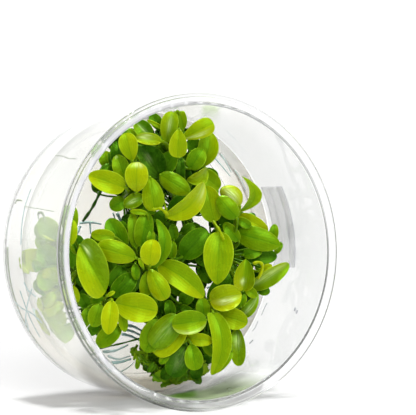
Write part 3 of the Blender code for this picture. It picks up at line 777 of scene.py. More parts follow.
# A stalk leaves the rhizome's head along the cup's axis and arrives in line with the
# midrib, on a cubic curve; it is a little thicker at its foot and under the blade
def stalkSurface(leaf, thin=1.0):
    base, tip, axis, normal, side = leafAxes(leaf)
    midrib = unit(axis + 4 * (leaf["bend"] * normal + leaf["bow"] * side))
    end = keepInside((base + midrib * 0.5)[None])[0]
    head = np.array(plants[leaf["plant"]][1], float)
    aside = np.array([stalk["aside"], stalk["aside"], 0.0])
    start = head + (end - head) * aside - [0, 0, stalk["rooted"]]
    span = np.linalg.norm(end - start)
    leaving = start + np.array([0, 0, stalk["rise"] * span]) + (end - start) * 0.1
    share, most = stalk["arrive"]
    arriving = end - midrib * min(share * span, most)
    path = keepInside(bezier(start, leaving, arriving, end, stalk["rings"]))
    t = np.linspace(0, 1, len(path))
    knee = stalk["swell"] * np.exp(-((t - stalk["knee"]) / stalk["kneeLength"]) ** 2)
    radii = stalk["radius"] * thin * (stalk["foot"] - stalk["taper"] * t + knee)
    radii = np.where(t > 0.985, radii * 0.8, radii)  # the last ring closes under the blade
    tone = stalk["tone"][0] + stalk["tone"][1] * leaf["tone"]
    return tubeSurface(path, radii, stalk["sides"], tone)


rhizome = {
    "rings": 40,
    "sides": 16,
    "radii": (0.6, 1.4, 1.4, 1.19),  # in the gel, at its surface, above it, at the head
    "deep": 6.5,
    "joints": (0.07, 21.0),  # how much it swells at each joint, and how close they are
    "tone": 0.36,
}


# A rhizome rises from its root in the gel through its foot to its head, as a smoothed line
# whose radius swells and shrinks with a cosine
def rhizomeSurface(plant):
    foot = np.array([*plants[plant][0], gel["top"] + 1.0])
    head = np.array(plants[plant][1], float)
    knots = np.array([foot - [0, 0, rhizome["deep"]], foot - [0, 0, 0.6],
                      foot + (head - foot) * 0.35, head])
    t = np.linspace(0, 3, rhizome["rings"])
    path = np.stack([np.interp(t, range(4), knots[:, i]) for i in range(3)], axis=-1)
    path[1:-1] = (path[:-2] + 2 * path[1:-1] + path[2:]) / 4
    swell, pace = rhizome["joints"]
    radii = np.interp(t, range(4), rhizome["radii"]) * (1 + swell * np.cos(t * pace))
    return tubeSurface(path, radii, rhizome["sides"], rhizome["tone"])


# A leaf's usual shape with the values of its own row, and what else the row may hold
def fullLeaf(fields, row, shape=leafShape):
    leaf = dict(shape)
    leaf.update(zip(fields, row))
    for rest in row[len(fields):]:
        leaf.update(rest)
    return leaf


# Blades of many leaves, each with margins that ripple in another way
def bladeSurfaces(leaves, pace):
    return [bladeSurface(leaf, i * pace) for i, leaf in enumerate(leaves)]


for number, row in blades.items():
    leaf = fullLeaf(bladeFields, row)
    makePiece("blade_" + number, [bladeSurface(leaf, int(number) * ripplePace["large"])],
              glossyLeaf, ["leaf_" + number])
print("scene: large leaves made")

# More leaves fill the space behind the large ones: they stand on a jittered grid in the
# picture, inside the outlines and off the clear spots, and point away from their plant
filler = {
    "layers": {  # spacing, length and width in pixels, then height and tone
        "front": [
            (8.5, (14.0, 21.0), (9.0, 14.0), (17.5, 24.5), (0.0, 0.22)),
            (12.0, (15.0, 23.0), (10.0, 15.0), (24.5, 28.5), (0.15, 0.56)),
        ],
        "side": [
            (8.0, (17.0, 24.0), (12.0, 18.0), (17.5, 23.0), (0.45, 0.95)),
        ],
    },
    "outlines": {
        "front": [(69, 226), (77, 226), (79, 242), (90, 240), (94, 232), (104, 222),
                  (116, 218), (124, 226), (132, 216), (114, 210), (112, 198), (122, 192),
                  (92, 184), (90, 172), (102, 168), (102, 152), (110, 142), (120, 134),
                  (132, 122), (150, 113), (176, 112), (185, 131), (202, 133), (212, 144),
                  (206, 166), (220, 180), (236, 192), (244, 208), (258, 214), (270, 228),
                  (278, 244), (272, 262), (280, 270), (262, 290), (252, 300), (248, 322),
                  (240, 334), (240, 360), (232, 352), (226, 338), (214, 366), (196, 366),
                  (168, 362), (146, 350), (143, 328), (130, 316), (120, 334), (102, 342),
                  (90, 334), (80, 314), (72, 290), (67, 262)],
        "side": [(40, 220), (58, 216), (60, 340), (52, 330), (42, 316), (37, 296),
                 (34, 268), (26, 266), (24, 252), (38, 246)],
    },
    # clear spots: place and radius
    "clear": [(100, 212, 14), (112, 224, 6), (170, 207, 5), (188, 270, 5), (211, 288, 5),
              (203, 221, 5), (246, 182, 22), (126, 330, 7), (235, 165, 12), (178, 226, 3),
              (184, 152, 3), (156, 126, 3), (252, 270, 3)],
    "open": [(94, 188, 7)],  # no tips here either
    "jitter": 5,
    "stray": 0.55,
    "rows": 14,
    "loop": 18,
}
pixelSize = 0.323  # millimetres at the cup


# Where the camera shows a point of the cup's frame
def pixelOf(point):
    offset = point - eye
    depth = -(offset @ back)
    return np.array([camera["photo"][0] / 2 + camera["focal"] * (offset @ right) / depth,
                     camera["photo"][1] / 2 - camera["focal"] * (offset @ upward) / depth])


# Whether each spot is inside an outline: a line to the right crosses it an odd number of
# times
def insideOutline(spots, outline):
    here = np.array(outline, float)
    following = np.roll(here, -1, axis=0)
    x, y = spots[:, :1], spots[:, 1:]
    spans = (here[:, 1] > y) != (following[:, 1] > y)
    drop = np.where(following[:, 1] == here[:, 1], 1.0, following[:, 1] - here[:, 1])
    crossing = here[:, 0] + (y - here[:, 1]) / drop * (following[:, 0] - here[:, 0])
    return np.sum(spans & (x < crossing), axis=1) % 2 == 1


# Spots on a grid over an outline, each moved at random by up to the jitter
def jitteredGrid(rng, outline, spacing, jitter):
    low, high = np.min(outline, axis=0), np.max(outline, axis=0)
    grid = np.stack(np.meshgrid(np.arange(low[0], high[0], spacing),
                                np.arange(low[1], high[1], spacing)), axis=-1).reshape(-1, 2)
    return grid + rng.uniform(-jitter, jitter, grid.shape)


# A step of a random length that strays at random from a direction
def strayedStep(rng, away, stray, lengths):
    turn = np.arctan2(away[1], away[0]) + rng.normal(0, stray)
    return np.array([np.cos(turn), np.sin(turn)]) * rng.uniform(*lengths)


# Leaves about the jittered grid's spots, each turned away from the nearest plant's head
def fillerLeaves(rng):
    heads = {plant: pixelOf(np.array(place[1], float)) for plant, place in plants.items()}
    names = list(heads)
    made = {plant: [] for plant in plants}
    clear = np.array(filler["clear"], float)
    for name, outline in filler["outlines"].items():
        for spacing, lengths, widths, heights, tones in filler["layers"][name]:
            for middle in jitteredGrid(rng, outline, spacing, filler["jitter"]):
                gaps = [np.hypot(*(middle - heads[other])) for other in names]
                plant = names[int(np.argmin(gaps))]
                away = middle - heads[plant]
                reach = strayedStep(rng, away, filler["stray"], lengths) / 2
                width, level, roll = rng.uniform(*widths), rng.uniform(), rng.uniform(-30, 30)
                spots = np.array([middle - reach * 0.6, middle, middle + reach])
                free = np.hypot(*(spots[:, None] - clear[None, :, :2]).transpose(2, 0, 1))
                if (not insideOutline(spots[1:], outline).all()
                        or (free < clear[:, 2] + 3).any()):
                    continue
                # The lower the leaf, the darker its tone: painted shade in the depth of the
                # foliage
                leaf = dict(
                    leafShape, plant=plant, base=middle - reach, tip=middle + reach,
                    height=np.interp(level, (0, 1), heights), width=width * pixelSize,
                    roll=roll, rows=filler["rows"], loop=filler["loop"],
                    trough=rng.uniform(-0.15, 0.2), shear=rng.uniform(-0.25, 0.25),
                    halves=rng.uniform(-0.16, 0.16),
                    tone=np.interp(level + rng.normal(0, 0.2), (0, 1), tones))
                if all(np.hypot(leaf["tip"][0] - x, leaf["tip"][1] - y) > size
                       for x, y, size in filler["open"]):
                    made[plant].append(leaf)
    return made


fillers = fillerLeaves(np.random.default_rng(7))

# One piece of stalks and one of small leaves for each plant; small leaves have thin stalks
for plant in plants:
    node = "stems_" + plant
    large = [fullLeaf(bladeFields, row) for row in blades.values() if row[0] == plant]
    young = [fullLeaf(smallFields, row, dict(smallShape, plant=plant))
             for row in smallLeaves[plant]]
    hidden = fillers[plant]
    stalks = [rhizomeSurface(plant)]
    stalks += [stalkSurface(leaf) for leaf in large]
    stalks += [stalkSurface(leaf, stalk["young"]) for leaf in young]
    stalks += [stalkSurface(leaf, stalk["hidden"]) for leaf in hidden]
    makePiece("stalks_" + plant, stalks, stalkSkin, [node])
    makePiece("small_leaves_" + plant, bladeSurfaces(young + hidden, ripplePace["small"]),
              glossyLeaf, [node])
print("scene: stalks and small leaves made")

# The ragged clump at the bottom of the cup: small dark leaves all over an oval
tuft = {
    "middle": (1.0, -36.5, 21.5),
    "size": (12.0, 6.5, 9.5),
    "count": 170,
    "length": (2.8, 5.2),
    "width": (1.8, 3.4),
    "reach": [(134, 346), (150, 334), (200, 334), (213, 356), (208, 377), (176, 387),
              (154, 381), (141, 364)],  # where the tips may be in the picture
}
mossShape = dict(leafShape, thickness=0.25, rows=12, loop=16)
goldenAngle = 2.39996


# Tips lie on an oval along a spiral whose turns are golden angles, so that they spread
# evenly, and the leaves lean at random from the oval's outward direction
def tuftLeaves(rng):
    count = tuft["count"]
    turn = goldenAngle * np.arange(count)
    depth = 1 - 2 * (np.arange(count) + 0.5) / count
    outward = np.stack([np.sqrt(1 - depth**2) * np.cos(turn),
                        np.sqrt(1 - depth**2) * np.sin(turn), depth], axis=-1)
    made = []
    for i in range(count):
        length = rng.uniform(*tuft["length"])
        tipPlace = np.array(tuft["middle"]) + outward[i] * tuft["size"]
        lean = rng.normal(0, 0.55, 3)
        direction = unit(outward[i] + lean)
        basePlace = tipPlace - direction * length
        axis = unit(tipPlace - basePlace)
        normal = unit(np.cross(axis, unit(rng.normal(0, 1, 3))))
        # Leaves on the side facing the mouth get a lighter tone: painted light
        leaf = dict(mossShape, width=rng.uniform(*tuft["width"]), wave=0.22,
                    trough=rng.uniform(-0.2, 0.3),
                    tone=rng.uniform(0.1, 0.6) * (0.6 + 0.4 * max(outward[i, 2], 0)),
                    frame=(basePlace, tipPlace, axis, normal, np.cross(axis, normal)))
        made.append(leaf)
    tips = np.array([pixelOf(leaf["frame"][1]) for leaf in made])
    kept = insideOutline(tips, tuft["reach"])
    return [leaf for leaf, keep in zip(made, kept) if keep]


# The clump's ragged skirt: leaves on a jittered grid in the picture
fringe = {
    "outline": [(130, 353), (139, 346), (150, 352), (164, 362), (182, 374), (198, 368),
                (208, 358), (211, 370), (204, 376), (190, 381), (176, 385), (162, 385),
                (150, 379), (141, 366)],
    "spacing": 2.9,
    "jitter": 2,
    "stray": 0.8,
    "length": (8.0, 13.0),
    "width": (4.0, 7.0),
    "height": (24.0, 30.0),
    "spread": (36.0, 22.0),  # half sizes of the clump in the picture
}


# Tips on the grid's spots, pointing away from the clump's middle; they are painted paler at its
# edge, as painted shade deeper in the clump
def fringeLeaves(rng):
    grid = jitteredGrid(rng, fringe["outline"], fringe["spacing"], fringe["jitter"])
    middle = pixelOf(np.array(tuft["middle"]))
    made = []
    for place in grid[insideOutline(grid, fringe["outline"])]:
        away = place - middle
        reach = strayedStep(rng, away, fringe["stray"], fringe["length"])
        edge = np.clip(np.hypot(*(away / fringe["spread"])) / 0.6 - 0.8, 0, 1)
        made.append(dict(
            mossShape, base=place - reach, tip=place, height=rng.uniform(*fringe["height"]),
            width=rng.uniform(*fringe["width"]) * pixelSize, roll=rng.uniform(-50, 50),
            wave=0.4, trough=rng.uniform(-0.2, 0.3), halves=rng.uniform(-0.2, 0.2),
            tone=rng.uniform(0.0, 0.32) + 0.42 * edge))
    return made


tuftRng = np.random.default_rng(11)
makePiece("moss_leaves", bladeSurfaces(tuftLeaves(tuftRng), ripplePace["moss"]),
          mossLeaf, ["bottom_tuft"])
makePiece("moss_skirt", bladeSurfaces(fringeLeaves(tuftRng), ripplePace["moss"]),
          mossLeaf)
print("scene: clump made")


# A turned surface: the profile (radius, height) goes round the axis, its ends closed at
# the axis by a small ring's face
def turnedSurface(profile, around):
    profile = np.array(profile)
    angle = 2 * np.pi * np.arange(around) / around
    points = np.stack([profile[:, :1] * np.cos(angle), profile[:, :1] * np.sin(angle),
                       np.repeat(profile[:, 1:], around, axis=1)], axis=-1)
    return gridSurface(points, flipped(tubeFaces(len(profile), around)),
                       np.linspace(0, 1, len(profile))[:, None], angle / (2 * np.pi))


# A profile whose corners (radius, height, rounding) become short curves: each corner is a
# parabola between the points that lie its rounding away on the two sides
def roundedProfile(corners, steps=5):
    corners = np.array(corners, float)
    places = corners[:, :2]
    t = np.linspace(0, 1, steps)[:, None]
    path = [places[:1]]
    for before, here, after, size in zip(places, places[1:], places[2:], corners[1:-1, 2]):
        come = here + unit(before - here) * size
        go = here + unit(after - here) * size
        path.append(come * (1 - t) ** 2 + here * 2 * t * (1 - t) + go * t**2)
    path.append(places[-1:])
    return np.concatenate(path)


# The cup's wall from the middle of its floor, over the mouth and the rim, down to the foot
def cupProfile():
    foot = cup["baseRadius"] - cup["baseEdge"]
    mouth = cup["mouthRadius"]
    step = cup["height"] - cup["rimStep"]
    return roundedProfile([
        (0.05, cup["floor"], 0),
        (foot - 1.2, cup["floor"], 1.2),
        (wallRadius(3.7), cup["floor"] + 1.6, 0.6),
        (mouth, cup["height"], 0.25),
        (cup["collarRadius"], cup["height"], 0.15),
        (cup["collarRadius"] + 0.1, step, 0.1),
        (cup["rimRadius"], step, 0.25),
        (cup["rimRadius"], cup["rimBack"], 0.25),
        (mouth + cup["wall"], cup["rimBack"], 0.3),
        (cup["baseRadius"], cup["baseEdge"], 0.5),
        (foot, 0.0, 0.5),
        (cup["footRadius"], 0.0, 0.2),
        (cup["footRadius"] - 0.5, cup["footDepth"], 0.2),
        (0.05, cup["footDepth"], 0),
    ])


# Clear plastic: plain transmission with a little absorption, so that edges read darker
clearLook = {
    "tint": (0.99, 0.995, 0.99, 1.0),
    "line": (0.035, 0.04, 0.038, 1.0),  # the rim's edges, painted dark: painted shade standing in for refraction
    "frost": (0.70, 0.69, 0.73, 1.0),  # the ring between the mouth and the collar
    "edge": (0.42, 0.43, 0.43, 1.0),  # the lip of the mouth, a painted grey shade
    "ior": 1.49,
    "absorption": (0.80, 0.83, 0.80, 1.0),
    "density": 8.0,
}


# The wall is a little hazy to the left. The rim's outer edge and collar are painted dark to the
# left and its inner edge to the right, as painted shade, and the ring and the lip between them
# are partly frosted, the lip in a painted grey shade
def clearMaterial():
    material, wire = newMaterial("clear_plastic")
    x, y, h = wire.inCup()
    rim, collarRadius, mouth, top = (
        cup[size] for size in ("rimRadius", "collarRadius", "mouthRadius", "height"))
    haze = (0 - x).step(20.0, 46.0) * h.step(10.0, 20.0) * (1 - h.step(40.0, 46.0))
    radius = (x * x + y * y) ** 0.5
    left = (0 - x * 0.85 - y * 0.53).step(14.0, 42.0)
    right = (x * 0.86 - y * 0.50).step(15.0, 48.0)
    outer = (radius.step(rim - 0.8, rim - 0.2) * h.step(top - 3.0, top - 2.0)
             * (left * 0.72 + 0.12))
    collar = (radius.step(collarRadius - 0.4, collarRadius - 0.1)
              * (1 - radius.step(collarRadius + 0.2, collarRadius + 0.4))
              * h.step(top - 0.8, top - 0.4))
    inner = ((1 - radius.step(mouth + 0.1, mouth + 0.5)) * h.step(top - 1.0, top - 0.5)
             * (right * 0.88 + 0.08))
    line = outer + collar * left * 0.6 + inner
    lip = (1 - radius.step(mouth + 0.3, mouth + 0.6)) * h.step(top - 0.7, top - 0.4)
    ring = (h.step(top - 0.5, top - 0.2) * radius.step(mouth + 0.3, mouth + 0.7)
            * (1 - radius.step(collarRadius - 0.9, collarRadius - 0.3)))
    amount = (ring * (0.10 + (0 - x + y * 0.3).step(0.0, 30.0) * 0.50)
              + lip * y.step(10.0, 38.0) * 0.6)
    clear = wire.node("BsdfPrincipled", None, {
        "Base Color": wire.mix(line, clearLook["tint"], clearLook["line"]),
        "Roughness": haze * 0.05, "IOR": clearLook["ior"], "Transmission Weight": 1.0})
    frosted = wire.node("BsdfPrincipled", None, {
        "Base Color": wire.mix(lip, clearLook["frost"], clearLook["edge"]),
        "Roughness": 0.35 + haze * 0.1, "IOR": clearLook["ior"]})
    volume = wire.node("VolumeAbsorption", None, {"Color": clearLook["absorption"],
                                                  "Density": clearLook["density"]})
    shader = wire.node("MixShader", None, {0: amount, 1: clear, 2: frosted})
    joinShader(wire, {"Surface": shader, "Volume": volume})
    return material


clearCup = makePiece("clear_cup", [turnedSurface(cupProfile(), cup["around"])],
                     clearMaterial(), ["cup"])
clearCup.visible_shadow = False  # the floor stays bright under the clear wall
clearCup.visible_diffuse = False

# The gel: cream, see-through in part, wet on top
gelLook = {
    "around": 192,
    "colour": (1.0, 0.99, 0.95, 1.0),
    "shade": (0.94, 0.88, 0.75, 1.0),
    "ior": 1.34,
    "roughness": 0.14,
    "relief": 0.0004,
}


# Its face is clear and faintly clouded, and its sides are cloudy, most of all to the left,
# where the low edge is also a deeper cream
def gelMaterial():
    material, wire = newMaterial("nutrient_gel")
    place = wire.place()
    cloud = wire.noise(place, 55.0)
    bump = wire.noise(place, 160.0, 2.0).relief(0.25, gelLook["relief"])
    x, y = wire.inCup()[:2]
    radius = (x * x + y * y) ** 0.5
    rough = gelLook["roughness"] + (cloud - 0.5) * 0.1
    low = (0 - y).step(8.0, 38.0) * radius.step(40.0, 44.0) * (1 - x.step(0.0, 20.0))
    tint = wire.mix(cloud.step(0.35, 0.75) * 0.7 + low, gelLook["colour"], gelLook["shade"])
    clear = wire.node("BsdfPrincipled", None, {
        "Base Color": tint, "Roughness": rough, "IOR": gelLook["ior"], "Normal": bump,
        "Transmission Weight": 0.95, "Coat Weight": 0.2, "Coat Roughness": 0.08})
    cloudy = wire.node("BsdfPrincipled", None, {
        "Base Color": tint, "Roughness": rough, "IOR": gelLook["ior"], "Normal": bump})
    side = radius.step(40.5, 43.5) * (1 - (x * 0.9 + y * 0.4).step(12.0, 34.0) * 0.75)
    shader = wire.node("MixShader", None, {0: side * 0.7, 1: clear, 2: cloudy})
    joinShader(wire, {"Surface": shader})
    return material


# The gel's face from the middle out, up the wall a little, then down beside it and back
def gelProfile():
    top, creep, gap = gel["top"], gel["creep"], gel["gap"]
    foot = cup["baseRadius"] - cup["baseEdge"] - gap
    floor = cup["floor"] + gap
    return roundedProfile([
        (0.05, top, 0),
        (wallRadius(top) - 5.5, top, 1.5),
        (wallRadius(top) - 1.8, top + 0.7, 1.4),
        (wallRadius(creep) - gap, creep, 0.2),
        (wallRadius(floor + 1.9) - gap, floor + 1.9, 0.4),
        (foot - 1.2, floor, 1.2),
        (0.05, floor, 0),
    ])


makePiece("cream_gel", [turnedSurface(gelProfile(), gelLook["around"])],
          gelMaterial(), ["nutrient_gel"])
print("scene: cup and gel made")

# The blank film outside the wall: heights, and angles round the axis in degrees
label = {
    "low": 15.3,
    "high": 28.4,
    "angles": (-9.0, 25.0),
    "thickness": 0.3,
    "gap": 0.35,
    "rows": 12,
    "columns": 40,
    "colour": (0.84, 0.83, 0.87, 1.0),
    "shade": (0.42, 0.41, 0.46, 1.0),
    "folds": (0.74, 0.34),  # its creases, as shares of the way up the wall
}


# A closed strip of the wall's own cone: each row is a loop out along its outer side and
# back along its inner side
def labelSurface():
    angles = np.radians(np.linspace(*label["angles"], label["columns"]))
    heights = np.linspace(label["low"], label["high"], label["rows"])[:, None]
    inner = (wallRadius(heights) + cup["wall"] + label["gap"]) * np.ones_like(angles)
    outer = inner + label["thickness"]
    radius = np.concatenate([outer, inner[:, ::-1]], axis=1)
    angle = np.concatenate([angles, angles[::-1]])
    points = np.stack([radius * np.cos(angle), radius * np.sin(angle),
                       heights * np.ones_like(radius)], axis=-1)
    return gridSurface(points, tubeFaces(label["rows"], 2 * label["columns"]),
                       np.linspace(0, 1, label["rows"])[:, None],
                       (angle - angles[0]) / (angles[-1] - angles[0]))


# Film darkens at its long edges, at its creases and above the upper one
def filmMaterial():
    material, wire = newMaterial("label_film")
    along = wire.surface()[0]
    fibre = wire.noise(wire.place(), 420.0)
    edges = 1 - (along.step(0.0, 0.06) * (1 - along.step(0.94, 1.0)))
    upper, lower = label["folds"]
    fold = 2 - abs(along - upper).step(0.0, 0.05) - abs(along - lower).step(0.0, 0.04)
    band = along.step(upper - 0.02, upper + 0.02)
    shade = 0.04 + edges * 0.45 + fold * 0.45 + (fibre - 0.5) * 0.25 + band * 0.12
    colour = wire.mix(shade, label["colour"], label["shade"])
    finishMaterial(wire, {"Base Color": colour, "Roughness": 0.45 + fibre * 0.15,
                          "Alpha": 0.30 + edges * 0.2 + fold * 0.2 + band * 0.1})
    return material


filmLabel = makePiece("film_label", [labelSurface()], filmMaterial(), ["label"])
filmLabel.visible_shadow = False

# A thin skin of moisture inside the wall, with painted reflections of the leaves near it
mist = {
    "gap": 0.12,
    "thickness": 0.06,
    "low": 15.0,
    "high": 49.0,
    "rows": 24,
    "around": 128,
    "streaks": (60.0, 400.0, 60.0),
    "grey": (0.66, 0.67, 0.67, 1.0),
    "white": (0.93, 0.98, 0.95, 1.0),  # on the left, seen from outside: condensation and painted reflection
    "veil": (0.93, 0.94, 0.92, 1.0),  # a pale painted reflection on the wall's foot
    "paintedReflectionStrip": (0.24, 0.31, 0.15, 1.0),  # the lowest strip: painted reflection of the leaves
    "paintedTopReflection": (0.50, 0.70, 0.22, 1.0),  # painted reflection of the top plant, by it
    "paintedClumpReflection": (0.10, 0.26, 0.002, 1.0),  # painted reflection of the clump, under it
}


# A closed skin just inside the wall: the ring of its inner and outer sides goes round the
# axis, and its last row joins its first
def mistSurface():
    heights = np.linspace(mist["low"], mist["high"], mist["rows"])
    outer = np.stack([wallRadius(heights) - mist["gap"], heights], axis=-1)
    inner = (outer - [mist["thickness"], 0])[::-1]
    ring = np.concatenate([inner, outer])
    rings, around = len(ring), mist["around"]
    surface = turnedSurface(ring, around)
    surface["faces"] = (gridFaces(rings + 1, around) % (rings * around)).tolist()
    return surface


# Most of it is nearly clear. It is streaked and white on the left, condensation with some
# painted reflection, and thicker on the wall's foot, where a pale veil and a green strip are
# painted reflections of the leaves, with a dark green painted reflection of the clump; a green
# painted reflection of the top plant lies high on the wall; slant is the place across the
# picture
def mistAndReflectionMaterial():
    material, wire = newMaterial("wall_mist_and_reflections")
    x, y, h = wire.inCup()
    streak = wire.streaks(mist["streaks"])
    slant = h * 1.47 + x * 2.66
    facing = (0 - x).step(8.0, 40.0)
    rim = h.step(30.0, 48.0)
    fall = (0 - y).step(8.0, 34.0) * x.step(0.0, 20.0)
    veil = (0 - y).step(35.0, 42.0) * h.step(22.0, 34.0) * x.step(-26.0, -12.0)
    paintedReflectionStrip = (0 - y).step(39.0, 44.5) * (1 - x.step(18.0, 34.0))
    paintedClumpReflection = ((1 - abs(slant - 50.0).step(6.0, 17.0)) * h.step(22.0, 30.0)
             * (1 - h.step(36.0, 44.0)) * (0 - y).step(41.5, 43.5))
    paintedTopReflection = (slant.step(74.0, 81.0) * (1 - slant.step(90.0, 98.0)) * x.step(1.0, 6.0)
             * (1 - x.step(9.0, 22.0)) * y.step(30.0, 36.0))
    alpha = ((0.10 - rim * 0.05) * (1 - fall * 0.7) * (1 - facing * 0.6)
             + facing * (0.04 + (streak - 0.5) * 0.10)
             + veil * (0.30 + paintedReflectionStrip * 0.18) + paintedTopReflection * (0.18 + (streak - 0.5) * 0.2)
             + paintedClumpReflection * 0.55)
    colour = wire.mix(facing, mist["grey"], mist["white"])
    colour = wire.mix(veil, colour, mist["veil"])
    colour = wire.mix(veil * paintedReflectionStrip, colour, mist["paintedReflectionStrip"])
    colour = wire.mix(paintedTopReflection, colour, mist["paintedTopReflection"])
    colour = wire.mix(paintedClumpReflection, colour, mist["paintedClumpReflection"])
    finishMaterial(wire, {"Base Color": colour, "Roughness": 0.6, "Alpha": alpha})
    return material


mistAndReflectionSkin = makePiece("wall_mist_and_reflections", [mistSurface()], mistAndReflectionMaterial())
mistAndReflectionSkin.visible_shadow = False
mistAndReflectionSkin.visible_diffuse = False

# Roots and stems: how finely they are drawn, and their colours by tone
rootLook = {
    "rings": 26,
    "wallRings": 40,
    "stemRings": 24,
    "sides": 8,
    "raised": 0.05,  # how far a root's middle is above the gel's face
    "colours": [
        (0.0, (0.02, 0.07, 0.01)),
        (0.2, (0.10, 0.16, 0.02)),
        (0.45, (0.60, 0.72, 0.68)),
        (0.75, (0.40, 0.59, 0.57)),
        (1.0, (0.06, 0.20, 0.20)),
    ],
    "smears": [(0.0, (0.16, 0.165, 0.18)), (1.0, (0.55, 0.56, 0.60))],
    "search": (110.0, 4401),  # how far before and behind the middle, and in how many steps
    "heights": (3.2, 46.0),  # where they may touch the wall
}

# Roots that show on the gel: places in the picture, thickness and colour tone
roots = [
    ([(80, 226), (77, 234), (73, 243)], 0.68, 0.7),
    ([(80, 223), (90, 222), (101, 224)], 0.52, 0.7),
    ([(90, 222), (90.5, 234)], 0.45, 0.7),
    ([(117, 213), (120, 219), (123, 227)], 0.75, 0.7),
    ([(113, 213), (116, 222)], 0.38, 0.7),
    ([(126, 325), (134, 326.5), (142, 331)], 0.68, 0.8),
    ([(124, 329), (133, 331.5), (142, 336)], 0.60, 0.8),
    ([(122, 334), (131, 336), (141, 341)], 0.60, 0.8),
    ([(103, 352), (115, 351), (128, 345)], 0.60, 0.6),
    ([(108, 356), (118, 360), (130, 356)], 0.45, 0.5),
    ([(112, 363), (121, 362), (131, 359)], 0.68, 0.7),
    ([(120, 372), (128, 368), (134, 362)], 0.30, 0.4),
    ([(185, 268), (190, 272)], 0.60, 0.7),
    ([(207, 288), (214, 285)], 0.45, 0.6),
    ([(220, 154), (225, 161), (231, 172)], 0.40, 0.48),
    ([(214, 157), (221, 165), (230, 176)], 0.34, 0.62),
    ([(234, 170), (240, 179), (245, 190)], 0.26, 0.50),
    ([(22, 312), (27, 322), (31, 336)], 0.60, 0.5),
    ([(18, 318), (26, 321), (36, 318)], 0.45, 0.5),
]


# Colour follows the piece's tone, with a fine grain
def rootMaterial(name, colours):
    material, wire = newMaterial(name)
    tone = wire.attribute("tone")
    grain = wire.noise(wire.place(), 700.0)
    colour = wire.ramp(tone + (grain - 0.5) * 0.3, colours)
    finishMaterial(wire, {"Base Color": colour, "Roughness": 0.4 + grain * 0.1})
    return material


# A smooth path near places: points on the straight lines between them, each then taken
# again and again halfway to the middle of its two neighbours
def smoothPath(places, count):
    places = np.array(places, float)
    t = np.linspace(0, len(places) - 1, count)
    path = np.stack([np.interp(t, np.arange(len(places)), places[:, i])
                     for i in range(places.shape[1])], axis=-1)
    for _ in range(int(count * 0.6)):
        path[1:-1] = (path[:-2] + 2 * path[1:-1] + path[2:]) / 4
    return path


# A root on the gel's face: its path is laid on the face and kept off the wall, and its
# radius shrinks evenly to the tip with a small wave
def rootSurface(pixels, radius, tone):
    flat = smoothPath(pixels, rootLook["rings"])
    places = np.array([atHeight(pixel, gel["top"] + rootLook["raised"]) for pixel in flat])
    distance = np.hypot(places[:, 0], places[:, 1])
    limit = wallRadius(gel["top"]) - gel["gap"] - radius
    places[:, :2] *= np.minimum(1, limit / distance)[:, None]
    places[:, 2] = np.interp(np.hypot(places[:, 0], places[:, 1]), gelRadii,
                             gelHeights) + rootLook["raised"]
    t = np.linspace(0, 1, len(places))
    radii = 0.85 * radius * (1 - 0.45 * t) * (1 + 0.12 * np.sin(t * 19 + radius * 40))
    return tubeSurface(places, radii, rootLook["sides"], tone)


rootSkin = rootMaterial("root_skin", rootLook["colours"])
makePiece("gel_roots", [rootSurface(*root) for root in roots], rootSkin)

# Thin roots between the gel or the air and the wall, seen from outside
wallRoots = [
    ([(4.5, 247), (3, 262), (6, 276), (11, 290), (16, 307), (24, 325), (35, 343), (49, 360),
      (63, 371), (80, 381)], 0.36, 0.14),
    ([(33, 190), (29, 200), (25.5, 212), (23.5, 228), (23, 245)], 0.18, 0.96),
    ([(11, 202), (18, 200.5), (24, 201.5)], 0.27, 0.18),
    ([(57, 157), (64, 157.5), (71, 160.5), (78, 160)], 0.18, 0.22),
    ([(26, 207), (38, 209), (56, 212)], 0.14, 0.24),
    ([(22, 290), (27, 304), (33, 320), (42, 336)], 0.20, 0.96),
    ([(16, 300), (24, 308), (34, 312), (44, 322)], 0.20, 0.92),
    ([(12, 312), (22, 322), (30, 334), (38, 341)], 0.20, 0.96),
    ([(34, 288), (30, 300), (27, 318), (28, 334)], 0.20, 0.88),
    ([(26, 282), (30, 290), (38, 296)], 0.20, 0.96),
    ([(28, 318), (31, 330), (27, 341)], 0.20, 0.90),
    ([(41, 220), (39.5, 214.5), (43, 212), (46, 216), (46.5, 222)], 0.42, 0.12),
]

# Leaf margins pressed on the wall, seen from outside
pressed = [
    ([(26, 251), (24, 257), (24, 263), (26, 269), (31, 273)], 1.1, 0.84),
    ([(41, 297), (42, 304), (44, 310)], 1.0, 0.90),
    ([(38, 309), (41.5, 318), (46.5, 327), (52, 334)], 0.95, 0.90),
]

# Small smears on the wall to the right, seen through the mouth
smears = [
    ([(267, 303), (264, 309), (261.5, 315)], 0.14, 0.8),
    ([(258, 321), (255, 328), (252.5, 331)], 0.13, 0.9),
    ([(295.5, 307.5), (294.5, 311)], 0.30, 0.5),
    ([(297.5, 310), (296, 313.5)], 0.26, 0.5),
    ([(253, 340), (249.5, 343.5)], 0.22, 0.7),
]


# Where the sight line of a pixel first (or last) is inside the wall by a depth, or nearest
# to that where it passes by, moved to the radius that is the wall's less the depth
def atWall(pixel, depth, last):
    ray = sight(pixel)
    reach, steps = rootLook["search"]
    t = np.linspace(camera["distance"] - reach, camera["distance"] + reach, steps)
    line = eye + ray * t[:, None]
    height = np.clip(line[:, 2], *rootLook["heights"])
    limit = wallRadius(height) - depth
    excess = np.hypot(line[:, 0], line[:, 1]) - limit + 3 * np.abs(line[:, 2] - height)
    inside = excess < 0
    chosen = np.argmax(inside) if inside.any() else np.argmin(excess)
    if last:
        chosen = len(t) - 1 - np.argmax(inside[::-1])
    place = line[chosen]
    shrink = limit[chosen] / np.hypot(place[0], place[1])
    return np.array([place[0] * shrink, place[1] * shrink, height[chosen]])


